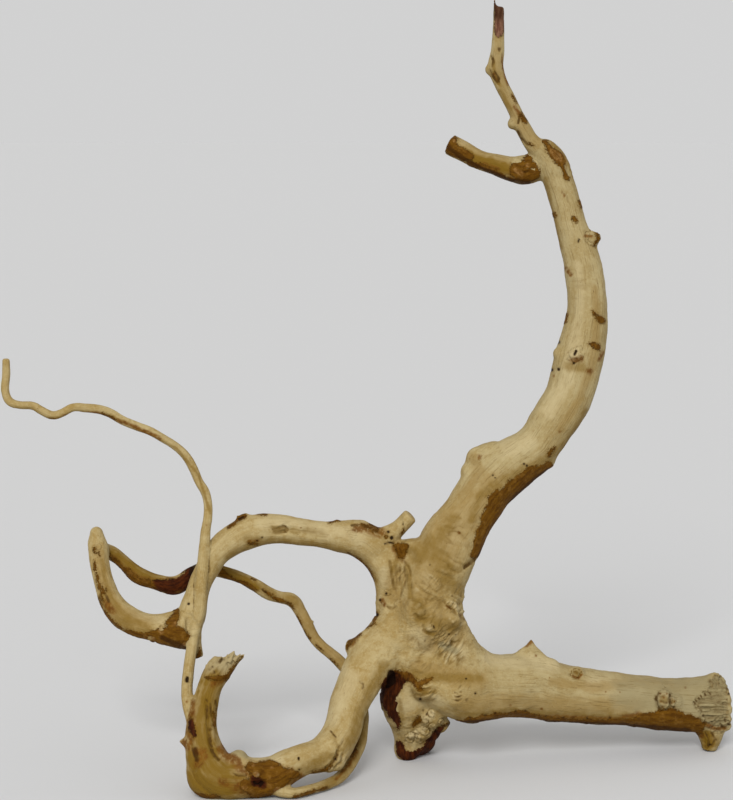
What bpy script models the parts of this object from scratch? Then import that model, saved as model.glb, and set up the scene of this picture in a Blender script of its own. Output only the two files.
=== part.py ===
"""A piece of driftwood: one grown root crown, dried and worn smooth.

It is a single body of wood. A thick crown stands in the middle. A big limb climbs from it to the
right and ends in a thin twig and a side branch. A second limb runs right, low down, to a torn end
with a short stub under it. A lower left limb drops to an elbow that lies on the surface and turns
up again as a broken stub. An upper left limb arches over and ends in a hook, whose tip runs back
as a thin root that passes behind both left limbs and joins the elbow. A long whisker grows out of
the elbow, up along the upper left limb, and away to the left.

The limbs are measured on a drawing of the piece as a standing viewer sees it: millimetres across,
millimetres up, and millimetres of depth away from the viewer, with the radius of the limb there.
The piece rests on three flats: under the elbow, under the burl and under the stub of the torn end.
"""

import math

import bmesh
import bpy
from mathutils import Matrix, Vector, kdtree, noise

# Units: the drawing is in millimetres and the model in metres.
MM = 0.001

# The drawing: its viewer stands this far off, looks down by this much, and aims at this point.
VIEWER_DISTANCE = 1500.0
VIEWER_DROP = math.radians(8.0)
AIM_ACROSS = 229.0
AIM_UP = 250.0
AIM_HEIGHT = 228.3

# The skin is eased where limbs meet, which draws it in, so every limb starts this much thicker.
SKIN_ALLOWANCE = 0.35

# How fine the solid is made.
TUBE_SEGMENTS = 5
TUBE_BEVEL = 6
VOXEL = 1.5
AXIS_STEPS = 4
TRIANGLES = 10400

# A limb is listed from its root to its tip: across, up, depth, radius.
BIG_LIMB = [
    (260, 96, 4, 20), (264, 109, 2, 23), (268, 125, 1, 21), (273, 141, 1, 19.4),
    (282.2, 162, 2, 19), (293.5, 179, 3, 16.6), (305, 195, 5, 16.4), (318.5, 208.5, 7, 16.2),
    (335, 220.6, 9, 14.4), (345.5, 235.4, 10, 14.4), (354.6, 252, 11, 14.8), (359.9, 270, 12, 15.3),
    (364, 287, 12, 14.3), (366, 300, 13, 12.9), (366.7, 315, 13, 11.8), (365, 330, 14, 11.9),
    (363, 340, 14, 10.8), (360, 350, 15, 10), (356.8, 360, 15, 9.6), (354.5, 370, 16, 9.7),
    (351.5, 380, 16, 9.7), (348, 390, 16, 9.2), (344.5, 399, 16, 9), (339, 406.5, 16, 7.6),
]
TOP_TWIG = [
    (341, 402, 16, 7), (332, 411.5, 15, 5), (327, 420, 14, 4.5), (322, 430, 13, 3.9),
    (317, 440, 12, 4), (312.5, 449, 11, 4), (309.8, 458, 10, 4.5), (311, 468, 9, 3.8),
    (311.4, 480, 8, 3.5), (311.7, 496, 6, 3.2),
]
TOP_SIDE_BRANCH = [
    (341, 396, 18, 7), (328, 394, 20, 9), (320, 394.5, 21, 7.5), (310, 397.3, 23, 6.4),
    (300, 400, 25, 5.9), (290, 405.4, 27, 6.2), (281.1, 410, 28, 6.2),
]
RIGHT_LIMB = [
    (262, 90, 4, 20), (275, 79, 3, 21.5), (290, 72.1, 4, 22), (310, 71, 9, 19.8),
    (330, 71.2, 15, 19.8), (350, 67, 20, 17.6), (370, 64.8, 26, 16.3), (390, 62.9, 31, 16.2),
    (410, 60.6, 36, 16.6), (430, 59.7, 40, 16.8), (445, 60, 42, 16.8), (453, 60, 43, 15),
]
FORK_WEB = [(276.5, 113, 2, 13), (285, 97, 3, 12.4), (297, 82.5, 5, 12.6), (312, 76.5, 9, 13)]
CROTCH_WEB = [(246, 151.5, 0, 9.4), (256, 153, 0, 10.2), (265, 153, 0, 11.6)]
TORN_END_STUB = [(443, 54, 41, 11), (443, 43, 41, 9.2), (443.3, 36, 40, 7), (443.5, 31, 40, 5.2)]
BURL = [
    (258, 88, 4, 19), (256, 72, 7, 17.5), (255, 60, 12, 16), (257, 48, 19, 13.5),
    (258.5, 38, 26, 12),
]
BURL_HEEL = [(258, 40, 22, 11), (262, 37, 33, 9), (265, 37, 41, 7.5)]
LOWER_LEFT_LIMB = [
    (252, 108, 2, 17), (245, 101, 0, 16.6), (237, 91.5, -4, 15.8), (230, 83, -9, 14.6),
    (225.2, 74.2, -14, 13), (217, 57.5, -24, 11.7), (212.8, 42.2, -33, 11.8),
    (206, 31.8, -41, 11.8), (198, 27.5, -46, 10.6), (191, 26, -50, 10), (181, 21.5, -54, 10.5),
    (170, 15.6, -57, 11.5), (160, 14, -58, 12.2), (150, 14, -58.5, 13), (140, 14.5, -58.5, 13.2),
    (134, 18.5, -58, 13.2), (130, 25, -56, 12.6), (127, 34, -54, 11.3), (126, 44, -51, 10),
    (127, 54, -49, 8.8), (129, 63, -47, 7.7), (131.3, 71, -46, 7.3), (135, 79, -45, 8),
    (140, 86, -44, 7.6),
]
ELBOW_HEEL = [(138, 12.5, -57.5, 11.4), (128.9, 12.4, -57, 10.3), (127.8, 24, -56, 10.5)]
UPPER_LEFT_LIMB = [
    (250, 104, 4, 13), (246.5, 118, 4, 11.8), (245.7, 130, 4, 10.9), (243.6, 141.7, 3, 11.1),
    (236.5, 154.2, 1, 11.4), (225.5, 162.4, -2, 11.4), (210, 164.8, -6, 9.2), (200, 166.2, -8, 8),
    (190, 167.5, -10, 8.5), (180, 169, -12, 9), (170, 169.5, -14, 9.1), (160, 168.6, -16, 9.9),
    (150.5, 165.2, -18, 9.7), (141, 159.3, -19, 8.7), (135, 153.4, -20, 8.2), (130.3, 145.3, -20, 7.7),
    (125.7, 136.5, -21, 7), (122.7, 128, -22, 7.3), (120.3, 118, -22, 8.6), (119, 108, -22, 7.6),
    (121, 99, -23, 4.9), (124, 88.8, -24, 3.2),
]
STUB_BRANCH = [(239, 163, 0, 7), (247.5, 168.6, -2, 5), (256.8, 177.9, -4, 4.6)]
HOOK = [
    (117, 107.5, -22, 13), (105, 107, -22, 10.6), (95, 108, -21, 8.1), (85, 110.5, -20, 7.6),
    (77.2, 115, -19, 7.6), (70.3, 123.3, -17, 6.9), (65.5, 134, -14, 6.2), (63.2, 142, -12, 6),
    (61.8, 150, -9, 6.2), (61.3, 157, -7, 6.4), (60.6, 162, -6, 5.7), (60.4, 166.4, -6, 4.1),
]
THIN_ROOT = [
    (61.5, 157, -4, 5.6), (66, 155.5, 0, 4.9), (70.5, 154, 2, 4.4), (75, 150.5, 3, 4),
    (80, 146, 3, 4.2), (85, 141.6, 4, 4.9), (90, 139, 4, 4.9), (95, 137.2, 5, 4.6),
    (100, 135.7, 5, 4.8), (105, 134.3, 5, 5.3), (110, 134.2, 5, 5.6), (115, 137, 5, 5.1),
    (120, 141, 5, 4.4), (126, 144, 5, 4.1), (133, 143.8, 5, 3.9), (140, 142.4, 6, 3.7),
    (150, 139.2, 7, 3.3), (160, 134, 8, 3.6), (168, 129, 9, 3.8), (175, 126.7, 10, 3.5),
    (182.6, 124.7, 10, 4.2), (187.7, 117.8, 11, 3.7), (191.7, 110.3, 11, 3.6),
    (195.3, 103, 12, 3.4), (200.2, 97, 12, 3.2), (207, 91.3, 12, 3.2), (212.7, 86, 12, 3.5),
    (219, 78, 12, 3.4), (224, 66, 9, 3.3), (227, 54, 4, 3.2), (226.8, 46, -3, 3.1),
    (225.3, 35, -12, 3.4), (222.7, 29, -18, 3.4), (220, 24.3, -24, 3.6), (216, 18.5, -31, 3.5),
    (211.5, 13.6, -38, 3.2), (205.3, 10.3, -44, 3.2), (198.3, 7.9, -51, 3), (190.2, 5.7, -58, 3.2),
    (183, 4.4, -62, 3.3), (176, 5.4, -62, 3.5), (168, 9, -59, 4),
]
WHISKER = [
    (124, 41, -51, 4.5), (119.7, 51.3, -50, 3.7), (117.5, 59.4, -46, 3.4), (116.8, 68.8, -42, 3.3),
    (117.4, 76.9, -38, 3.2), (119.6, 93.8, -33, 3.2), (121.9, 107.5, -29, 3.4),
    (125, 120.6, -28.5, 3.7), (125.6, 134.4, -28, 3.7), (126.9, 148.1, -27, 3.5),
    (127.8, 159.4, -27, 3.1), (128.5, 168.8, -27, 2.7), (129.9, 177, -26, 2.6), (129.7, 186.3, -25, 2.6),
    (128.1, 192.5, -25, 2.7), (124.4, 198.8, -25, 2.6), (120.6, 207.5, -26, 2.6),
    (115.6, 215.6, -27, 2.6), (109.4, 221.3, -28, 2.5), (101.3, 226.3, -30, 2.4),
    (93.8, 230.6, -31, 2.4), (84.4, 234.1, -32, 2.5), (76.3, 237.5, -33, 2.5),
    (68.8, 241.9, -34, 2.6), (62.5, 244, -35, 2.6), (53.1, 245, -36, 2.6), (45.6, 245.3, -37, 2.4),
    (38.8, 241.9, -38, 2.4), (33.1, 240.3, -38, 2.5), (26.3, 243.1, -39, 2.4), (20.6, 246.3, -39, 2.3),
    (12.5, 246.8, -40, 2.3), (6.3, 248.8, -40, 2.5), (3.3, 255, -40, 2.4), (3.8, 265.6, -40, 2.4),
    (3.8, 276, -40, 2.1),
]

# Every limb by name, each its own list.
LIMBS = {
    "big limb": BIG_LIMB,
    "top twig": TOP_TWIG,
    "top side branch": TOP_SIDE_BRANCH,
    "right limb": RIGHT_LIMB,
    "fork web": FORK_WEB,
    "crotch web": CROTCH_WEB,
    "torn end stub": TORN_END_STUB,
    "burl": BURL,
    "burl heel": BURL_HEEL,
    "lower left limb": LOWER_LEFT_LIMB,
    "elbow heel": ELBOW_HEEL,
    "upper left limb": UPPER_LEFT_LIMB,
    "stub branch": STUB_BRANCH,
    "hook": HOOK,
    "thin root": THIN_ROOT,
    "whisker": WHISKER,
}

# Knots, buds and shoulders, as balls sunk into the wood: across, up, depth, radius.
KNOTS = [
    (347.7, 394.3, 14, 8.7), (340, 406, 15, 7), (370, 350.8, 12, 4.4), (349.5, 279, 8, 4.6),
    (298.6, 213.6, 3, 7.4), (341, 214, 8, 6.8), (306.9, 456.5, 10, 3.4), (320.5, 422.6, 13, 3.2),
    (359.5, 277, -1, 4.2), (254.3, 32.3, 22, 8.2), (269, 43, 20, 6.4),
    (267, 36, 24, 4.8), (296, 205, 4, 7.4), (309, 216.4, 5, 7.4), (342, 81.5, 14, 8.2),
    (260, 118, -15, 8.5), (269, 108, -17, 7), (282, 113, -14, 6), (284.5, 65, -13, 6.5),
    (265, 70, -12, 8), (269, 53, 4, 8), (264.5, 43, 10, 6), (275, 48, 12, 6), (248.6, 63, 10, 10.7),
    (360, 78.6, 14, 4.4), (415, 63, 20, 5.5), (421.5, 62, 23, 4.6), (149, 25.4, -61, 6.3),
    (160.5, 16.5, -67.5, 4.2), (222.5, 95.4, -3, 6.8), (229, 98, -6, 8), (226, 168, -4, 6.4),
    (153.5, 174.2, -17, 4.9), (210, 23, -44, 4.6), (205, 21, -44, 3.6),
]

# Thorns and splinters, as tapered spikes: root point, tip point, radius at the root.
THORNS = [
    ((333, 84, 14), (332, 101.6, 10), 11),
    ((119, 36, -54), (111.4, 36.8, -54), 5.6),
    ((364, 347, 13), (374.4, 354.6, 12), 4.8),
    ((152, 172, -17), (147.6, 178.2, -18), 3.4),
    ((209, 171, -7), (211, 175.6, -8), 3.2),
    ((238, 115, 2), (232.6, 113, 0), 2.6),
    ((137, 83, -46), (137.8, 91, -47), 3.4),
    ((142, 86, -45), (147.2, 94.2, -45), 4.2),
    ((143, 84, -44), (154.2, 92, -43), 4.4),
    ((131, 78, -47), (130.6, 87.8, -48), 4.2),
    ((134, 80, -41), (134.5, 88.6, -39), 4),
    ((310.3, 488, 6.5), (308.8, 501, 6), 2.4),
]

# The right limb's torn end: fibre bundles that run out of it, each at its height and depth.
FIBRES = [
    (75, 42, 450.5, 4.8), (70, 33, 454.4, 4.8), (63.5, 29, 457.2, 5.2), (56.5, 28, 457.8, 5),
    (50.5, 31, 457.4, 4.8), (46.2, 38, 457, 4.8), (71.5, 50, 453.4, 4.8), (60, 52, 456.2, 5),
    (50, 49, 454.5, 4.8),
]
FIBRE_ROOT = 434.0

# Where the wood is scooped out: point at the middle of the scoop, its reach and its depth.
SCOOPS = [
    ((252, 152, -14), 7, 5), ((247, 76, -6), 7, 3.5), ((254, 155, -9), 5, 2.5), ((284, 77, -18), 6, 2.2),
    ((163, 9, -70), 4.5, 2), ((238, 152, -8), 5, 1.5), ((180, 167, -21), 7, 1.3),
    ((262, 128, -17), 6, 1.6), ((236.5, 120, -2), 4, 1.5),
]

# The swells and lumps of the weathered wood: how far each runs, and its depth as a share of radius.
SWELL_REACH = 26.0
SWELL_DEPTH = 0.09
LUMP_REACH = 9.0
LUMP_DEPTH = 0.035
CROWN_LUMP_DEPTH = 1.3
CROWN_MIDDLE = (268, 100, 0)
CROWN_REACH = 44.0
RIPPLE_SPACING = 6.5
RIPPLE_DEPTH = 0.8
RIPPLE_MIDDLE = (280, 95, -14)
RIPPLE_REACH = 16.0

# The wood's finish.
WOOD_COLOUR = (0.48, 0.34, 0.17, 1.0)
WOOD_ROUGHNESS = 0.55

FLOOR_SLAB = (0.9, 0.9, 0.1)


def place(across, up, depth):
    """The point of the model, in metres, that the viewer of the drawing sees there."""
    spread = 1.0 + depth / VIEWER_DISTANCE
    right = (across - AIM_ACROSS) * spread
    rise = (up - AIM_UP) * spread
    back = rise * math.sin(VIEWER_DROP) + depth * math.cos(VIEWER_DROP)
    height = rise * math.cos(VIEWER_DROP) - depth * math.sin(VIEWER_DROP) + AIM_HEIGHT
    return Vector((right, back, height)) * MM


def real_radius(radius, depth):
    """A radius read at that depth of the drawing, in metres, with the skin's allowance."""
    return (radius * (1.0 + depth / VIEWER_DISTANCE) + SKIN_ALLOWANCE) * MM


def clear_scene():
    """Start from an empty scene."""
    for item in list(bpy.data.objects):
        bpy.data.objects.remove(item, do_unlink=True)


def new_collection(name):
    """A collection of the scene."""
    group = bpy.data.collections.new(name)
    bpy.context.scene.collection.children.link(group)
    return group


def evaluated_mesh(item):
    """The mesh that an object shows with its modifiers, as data of its own."""
    depsgraph = bpy.context.evaluated_depsgraph_get()
    return bpy.data.meshes.new_from_object(item.evaluated_get(depsgraph), depsgraph=depsgraph)


def limb_mesh(name, stations):
    """One limb as a closed tube: a bevelled curve whose radius changes at each station."""
    curve = bpy.data.curves.new(name, "CURVE")
    curve.dimensions = "3D"
    curve.resolution_u = TUBE_SEGMENTS
    curve.bevel_resolution = TUBE_BEVEL
    curve.bevel_depth = 1.0
    curve.use_fill_caps = True
    run = curve.splines.new("BEZIER")
    run.radius_interpolation = "CARDINAL"
    run.bezier_points.add(len(stations) - 1)
    for point, (across, up, depth, radius) in zip(run.bezier_points, stations):
        point.co = place(across, up, depth)
        point.handle_left_type = "AUTO"
        point.handle_right_type = "AUTO"
        point.radius = real_radius(radius, depth)
    item = bpy.data.objects.new(name, curve)
    bpy.context.scene.collection.objects.link(item)
    mesh = evaluated_mesh(item)
    bpy.data.objects.remove(item)
    bpy.data.curves.remove(curve)
    return mesh


def add_limbs(wood):
    """Every limb of the piece, each closed by itself."""
    for name, stations in LIMBS.items():
        mesh = limb_mesh(name, stations)
        wood.from_mesh(mesh)
        bpy.data.meshes.remove(mesh)
    bmesh.ops.remove_doubles(wood, verts=wood.verts, dist=0.00001)


def add_knots(wood):
    """Round knots, buds and shoulders."""
    for across, up, depth, radius in KNOTS:
        spot = Matrix.Translation(place(across, up, depth))
        bmesh.ops.create_icosphere(wood, subdivisions=3, radius=real_radius(radius, depth), matrix=spot)


def add_spike(wood, root, tip, root_radius, tip_radius):
    """A tapered spike from one drawn point to another."""
    start = place(*root)
    end = place(*tip)
    turn = (end - start).to_track_quat("Z", "Y").to_matrix().to_4x4()
    spot = Matrix.Translation((start + end) / 2) @ turn
    bmesh.ops.create_cone(
        wood, cap_ends=True, segments=12, radius1=root_radius * MM, radius2=tip_radius * MM,
        depth=(end - start).length, matrix=spot)


def add_thorns(wood):
    """Thorns, and the splinters of the broken stub."""
    for root, tip, radius in THORNS:
        add_spike(wood, root, tip, radius, 0.7)


def add_fibres(wood):
    """The fibre bundles of the right limb's torn end."""
    for up, depth, tip_across, radius in FIBRES:
        add_spike(wood, (FIBRE_ROOT, up, depth), (tip_across, up - 0.5, depth), radius, radius * 0.55)


def axis_points():
    """The middle line of every limb, as points with the limb's radius there."""
    points = []
    for stations in LIMBS.values():
        for start, end in zip(stations, stations[1:]):
            first = place(*start[:3])
            last = place(*end[:3])
            for step in range(AXIS_STEPS):
                share = step / AXIS_STEPS
                radius = start[3] + (end[3] - start[3]) * share
                points.append((first.lerp(last, share), radius))
    return points


def nearest_limb_finder():
    """A search tree of the limbs' middle lines, and the points in it."""
    points = axis_points()
    tree = kdtree.KDTree(len(points))
    for number, (where, _radius) in enumerate(points):
        tree.insert(where, number)
    tree.balance()
    return tree, points


def fused_mesh(wood):
    """The tubes and knots grown together: one closed skin, eased where limbs meet."""
    mesh = bpy.data.meshes.new("grown wood")
    wood.to_mesh(mesh)
    item = bpy.data.objects.new("grown wood", mesh)
    bpy.context.scene.collection.objects.link(item)
    skin = item.modifiers.new("one skin", "REMESH")
    skin.mode = "VOXEL"
    skin.voxel_size = VOXEL * MM
    skin.adaptivity = 0.0
    fused = evaluated_mesh(item)
    item.modifiers.clear()
    item.data = fused
    weigh_by_thickness(item)
    ease = item.modifiers.new("eased forks", "SMOOTH")
    ease.factor = 0.5
    ease.iterations = 9
    ease.vertex_group = "thick"
    even = item.modifiers.new("even skin", "SMOOTH")
    even.factor = 0.4
    even.iterations = 2
    eased = evaluated_mesh(item)
    bpy.data.objects.remove(item)
    return eased


def weigh_by_thickness(item):
    """A vertex group that spares thin limbs from smoothing, which would thin them further."""
    tree, points = nearest_limb_finder()
    group = item.vertex_groups.new(name="thick")
    for vertex in item.data.vertices:
        _where, number, _gap = tree.find(vertex.co)
        radius = points[number][1]
        group.add([vertex.index], min(max((radius - 3.5) / 8.0, 0.05), 1.0), "REPLACE")


def fade(distance, reach):
    """1 at the middle, 0 from the reach outwards, smooth between."""
    share = max(0.0, 1.0 - distance / reach)
    return share * share * (3.0 - 2.0 * share)


def weather(mesh):
    """Swells and flutes along the limbs, lumps and ripples on the crown, and scooped hollows."""
    tree, points = nearest_limb_finder()
    crown = place(*CROWN_MIDDLE)
    ripples = place(*RIPPLE_MIDDLE)
    scoops = [(place(*spot), reach * MM, depth * MM) for spot, reach, depth in SCOOPS]
    normals = [vertex.normal.copy() for vertex in mesh.vertices]
    for vertex, normal in zip(mesh.vertices, normals):
        where = vertex.co.copy()
        _spot, number, _gap = tree.find(where)
        _axis, radius = points[number]
        swell = noise.noise(where / (SWELL_REACH * MM)) * SWELL_DEPTH * radius
        lump = noise.noise(where / (LUMP_REACH * MM)) * LUMP_DEPTH * radius
        on_crown = fade((where - crown).length, CROWN_REACH * MM)
        knobbly = noise.noise(where / (9.0 * MM)) * CROWN_LUMP_DEPTH * on_crown
        near_ripples = fade((where - ripples).length, RIPPLE_REACH * MM)
        wave = math.sin(where.z / (RIPPLE_SPACING * MM) * math.tau + where.x / (14.0 * MM))
        ripple = wave * RIPPLE_DEPTH * near_ripples
        move = (swell + lump + knobbly + ripple) * MM
        for middle, reach, depth in scoops:
            move -= depth * fade((where - middle).length, reach * 1.6)
        vertex.co = where + normal * move
    mesh.update()


def coarsened(mesh):
    """The same skin with few faces, light enough to handle as a solid."""
    item = bpy.data.objects.new("coarse wood", mesh)
    bpy.context.scene.collection.objects.link(item)
    thin = item.modifiers.new("fewer faces", "DECIMATE")
    thin.ratio = TRIANGLES / (2 * len(mesh.polygons))
    coarse = evaluated_mesh(item)
    bpy.data.objects.remove(item)
    return coarse


def to_bottom_centre(mesh):
    """Put the origin under the middle of the piece's box, on the surface that it stands on."""
    across = [vertex.co.x for vertex in mesh.vertices]
    back = [vertex.co.y for vertex in mesh.vertices]
    middle = Vector(((min(across) + max(across)) / 2, (min(back) + max(back)) / 2, 0.0))
    mesh.transform(Matrix.Translation(-middle))


def wood_material():
    """Bare weathered wood."""
    material = bpy.data.materials.new("weathered wood")
    material.use_nodes = True
    shader = material.node_tree.nodes["Principled BSDF"]
    shader.inputs["Base Color"].default_value = WOOD_COLOUR
    shader.inputs["Roughness"].default_value = WOOD_ROUGHNESS
    shader.inputs["Metallic"].default_value = 0.0
    return material


def floor_cutter(cutters):
    """A slab under the surface line, which takes the flats off the three feet."""
    bpy.ops.mesh.primitive_cube_add(size=1.0, location=(0.0, 0.0, -FLOOR_SLAB[2] / 2))
    slab = bpy.context.object
    slab.name = "floor_cutter"
    slab.data.transform(Matrix.Diagonal((*FLOOR_SLAB, 1.0)))
    slab.hide_render = True
    slab.display_type = "WIRE"
    for group in list(slab.users_collection):
        group.objects.unlink(slab)
    cutters.objects.link(slab)
    return slab


def driftwood(parts, cutters):
    """The whole piece: grown together, weathered, and cut flat under its feet."""
    wood = bmesh.new()
    add_limbs(wood)
    add_knots(wood)
    add_thorns(wood)
    add_fibres(wood)
    mesh = fused_mesh(wood)
    wood.free()
    weather(mesh)
    mesh = coarsened(mesh)
    to_bottom_centre(mesh)
    mesh.name = "driftwood"
    mesh.materials.clear()
    mesh.materials.append(wood_material())
    mesh.shade_smooth()
    piece = bpy.data.objects.new("driftwood", mesh)
    parts.objects.link(piece)
    flats = piece.modifiers.new("flats under the feet", "BOOLEAN")
    flats.operation = "DIFFERENCE"
    flats.solver = "EXACT"
    flats.object = floor_cutter(cutters)
    return piece


clear_scene()
driftwood(new_collection("piece_of_driftwood"), new_collection("cutters"))
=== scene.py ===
import math
import random

import bpy
import numpy as np
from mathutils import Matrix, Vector, kdtree, noise


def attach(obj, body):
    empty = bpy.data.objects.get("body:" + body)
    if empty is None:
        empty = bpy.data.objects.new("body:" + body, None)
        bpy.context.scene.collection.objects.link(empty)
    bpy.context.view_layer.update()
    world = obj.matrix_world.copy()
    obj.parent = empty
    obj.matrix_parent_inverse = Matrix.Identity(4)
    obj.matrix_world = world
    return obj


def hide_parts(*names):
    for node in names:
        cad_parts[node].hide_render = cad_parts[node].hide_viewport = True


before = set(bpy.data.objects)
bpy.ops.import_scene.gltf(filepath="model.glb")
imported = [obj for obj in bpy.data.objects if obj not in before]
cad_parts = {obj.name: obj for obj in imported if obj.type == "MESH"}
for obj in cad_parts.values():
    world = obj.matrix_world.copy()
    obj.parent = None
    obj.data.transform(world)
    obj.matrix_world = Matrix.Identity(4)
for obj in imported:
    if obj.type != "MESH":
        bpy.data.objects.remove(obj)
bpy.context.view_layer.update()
bpy.ops.object.select_all(action="DESELECT")


# The big limb
# The thickest root of the piece: solid wood that climbs from the crown to the right, with a
# shoulder at its left and an eye knot half way up. Dark bark is left along its underside.
MM = 0.001
# The drawing's viewer: how far off in millimetres, the angle looked down at, and the point aimed at.
VIEWER_DISTANCE = 1500.0
VIEWER_DROP = math.radians(8.0)
AIM_ACROSS = 229.0
AIM_UP = 250.0
AIM_HEIGHT = 228.3
SKIN_ALLOWANCE = 0.35
AXIS_STEPS = 4
ANY_LIMB = ""

raw_wood = []
lines = {}
webs = []
marked = []
marks = []
folds = []


def place(across, up, depth):
    """The point, in metres, that the viewer of the drawing sees there."""
    spread = 1.0 + depth / VIEWER_DISTANCE
    right = (across - AIM_ACROSS) * spread
    rise = (up - AIM_UP) * spread
    back = rise * math.sin(VIEWER_DROP) + depth * math.cos(VIEWER_DROP)
    height = rise * math.cos(VIEWER_DROP) - depth * math.sin(VIEWER_DROP) + AIM_HEIGHT
    return Vector((right, back, height)) * MM


def real_radius(radius, depth):
    """A radius read at that depth of the drawing, in metres, with the skin's allowance."""
    return (radius * (1.0 + depth / VIEWER_DISTANCE) + SKIN_ALLOWANCE) * MM


def tube(name, stations):
    """A closed tube along drawn stations, each across, up, depth and radius."""
    bpy.ops.curve.primitive_bezier_curve_add()
    item = bpy.context.object
    item.name = name
    curve = item.data
    curve.resolution_u = 8
    curve.bevel_resolution = 8
    curve.bevel_depth = 1.0
    curve.use_fill_caps = True
    run = curve.splines[0]
    run.radius_interpolation = "CARDINAL"
    run.bezier_points.add(len(stations) - 2)
    for point, (across, up, depth, radius) in zip(run.bezier_points, stations):
        point.co = place(across, up, depth)
        point.handle_left_type = "AUTO"
        point.handle_right_type = "AUTO"
        point.radius = real_radius(radius, depth)
    bpy.ops.object.convert(target="MESH")
    raw_wood.append(bpy.context.object)


def middle_points(stations):
    """Points along the stations, in millimetres, with the radius at each."""
    found = []
    for start, end in zip(stations, stations[1:]):
        for step in range(AXIS_STEPS):
            share = step / AXIS_STEPS
            where = place(*start[:3]).lerp(place(*end[:3]), share) / MM
            found.append((*where, start[3] + (end[3] - start[3]) * share))
    return np.array(found)


def limb(name, stations):
    """A limb: its tube, and the middle line that its fibres follow on from the limb it grows on."""
    tube(name, stations)
    marked.append(name)
    spots = middle_points(stations)
    ways = np.gradient(spots[:, :3], axis=0)
    steps = np.linalg.norm(np.diff(spots[:, :3], axis=0), axis=1)
    ways /= np.linalg.norm(ways, axis=1)[:, None]
    first_run = 0.0
    side = np.array([0.0, -1.0, 0.0])
    if lines:
        older = np.vstack([line["spots"][:, :3] for line in lines.values()])
        runs = np.concatenate([line["run"] for line in lines.values()])
        sides = np.vstack([line["side"] for line in lines.values()])
        nearest = int(np.argmin(np.linalg.norm(older - spots[0, :3], axis=1)))
        first_run = runs[nearest]
        side = sides[nearest]
    across = []
    for way in ways:
        side = side - way * side.dot(way)
        side = side / np.linalg.norm(side)
        across.append(side)
    lines[name] = {
        "spots": spots, "way": ways, "side": np.array(across),
        "run": first_run + np.concatenate([[0.0], np.cumsum(steps)])}


def web(name, stations):
    """Wood that fills a fork or widens a foot: a tube with no fibres of its own."""
    tube(name, stations)
    webs.append(middle_points(stations))


def knots(*drawn):
    """Round knots, buds or shoulders sunk into the wood: across, up, depth and radius."""
    for across, up, depth, radius in drawn:
        bpy.ops.mesh.primitive_ico_sphere_add(
            subdivisions=3, radius=real_radius(radius, depth), location=place(across, up, depth))
        raw_wood.append(bpy.context.object)


def spike(root, tip, root_radius, tip_radius=0.7):
    """A tapered spike from one drawn point to another."""
    start = place(*root)
    end = place(*tip)
    bpy.ops.mesh.primitive_cone_add(
        vertices=12, radius1=root_radius * MM, radius2=tip_radius * MM,
        depth=(end - start).length, location=(start + end) / 2,
        rotation=(end - start).to_track_quat("Z", "Y").to_euler())
    raw_wood.append(bpy.context.object)


def mark(kind, *paths, rise=0.0, all_round=False):
    """Marks of one kind on the limb just grown: drawn lines of across, up and half width."""
    for path in paths:
        marks.append((marked[-1], kind, path, rise, all_round))


def dots(kind, *points, rise=0.0, all_round=False):
    """Round marks of one kind, each at across and up with its half width."""
    mark(kind, *[[point] for point in points], rise=rise, all_round=all_round)


def fold(*patches):
    """Creases side by side that run at an angle, in degrees, inside round patches."""
    for across, up, reach, angle, spacing, height in patches:
        folds.append((across, up, reach, math.radians(angle), spacing, height))


limb("big limb", [
    (260, 96, 4, 20), (264, 109, 2, 23), (268, 125, 1, 21), (273, 141, 1, 19.4),
    (282.2, 162, 2, 19), (293.5, 179, 3, 16.6), (305, 195, 5, 16.4), (318.5, 208.5, 7, 16.2),
    (335, 220.6, 9, 14.4), (345.5, 235.4, 10, 14.4), (354.6, 252, 11, 14.8),
    (359.9, 270, 12, 15.3), (364, 287, 12, 14.3), (366, 300, 13, 12.9), (366.7, 315, 13, 11.8),
    (365, 330, 14, 11.9), (363, 340, 14, 10.8), (360, 350, 15, 10), (356.8, 360, 15, 9.6),
    (354.5, 370, 16, 9.7), (351.5, 380, 16, 9.7), (348, 390, 16, 9.2), (344.5, 399, 16, 9),
    (339, 406.5, 16, 7.6)])
knots((347.7, 394.3, 14, 8.7), (340, 406, 15, 7), (370, 350.8, 12, 4.4), (349.5, 279, 8, 4.6),
      (298.6, 213.6, 3, 7.4), (341, 214, 8, 6.8), (359.5, 277, -1, 4.2), (296, 205, 4, 7.4),
      (309, 216.4, 5, 7.4), (303.6, 215.4, 4, 7.2))
spike((364, 347, 13), (374.4, 354.6, 12), 4.8)

# Bark along the underside, with its crack, and the patches at the top.
mark("bark", [(358.4, 363.9, 1.1), (359.6, 362.4, 1.3)], rise=0.2)
mark("bark", [(370.5, 305.5, 1), (373, 302.5, 1.3), (376, 299.5, 1.9)],
     [(368.5, 285, 0.9), (371, 284.4, 1.5), (373.5, 283.2, 1.8)], rise=0.25)
mark("bark", [(346.3, 220.2, 0.9), (344.6, 218.2, 1.6), (343, 215.5, 1.3)],
     [(362.4, 373.4, 1.2), (363.6, 370.8, 1)], rise=0.3)
mark("bark", [(335.6, 414.4, 0.8), (340, 411.4, 1.3), (343.4, 407.6, 2.3), (346.4, 404, 3.3),
     (349.4, 400.4, 2.7), (351.6, 396, 1.2), (353, 391.5, 0.9), (354.5, 388, 1.1)], rise=0.4)
mark("bark", [(353.8, 304, 0.8), (353.2, 299, 0.8)], rise=0.2, all_round=True)
mark("bark", [(342, 208, 3.2), (334, 202.5, 6), (326, 196.5, 7.2), (319, 190.5, 7), (313, 184, 9.3),
     (308, 177, 7), (304, 169, 5.4), (300, 160, 5), (296.5, 153, 2.2)], rise=0.45, all_round=True)
dots("bark", (346.6, 365.5, 1.4), rise=0.3)
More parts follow.
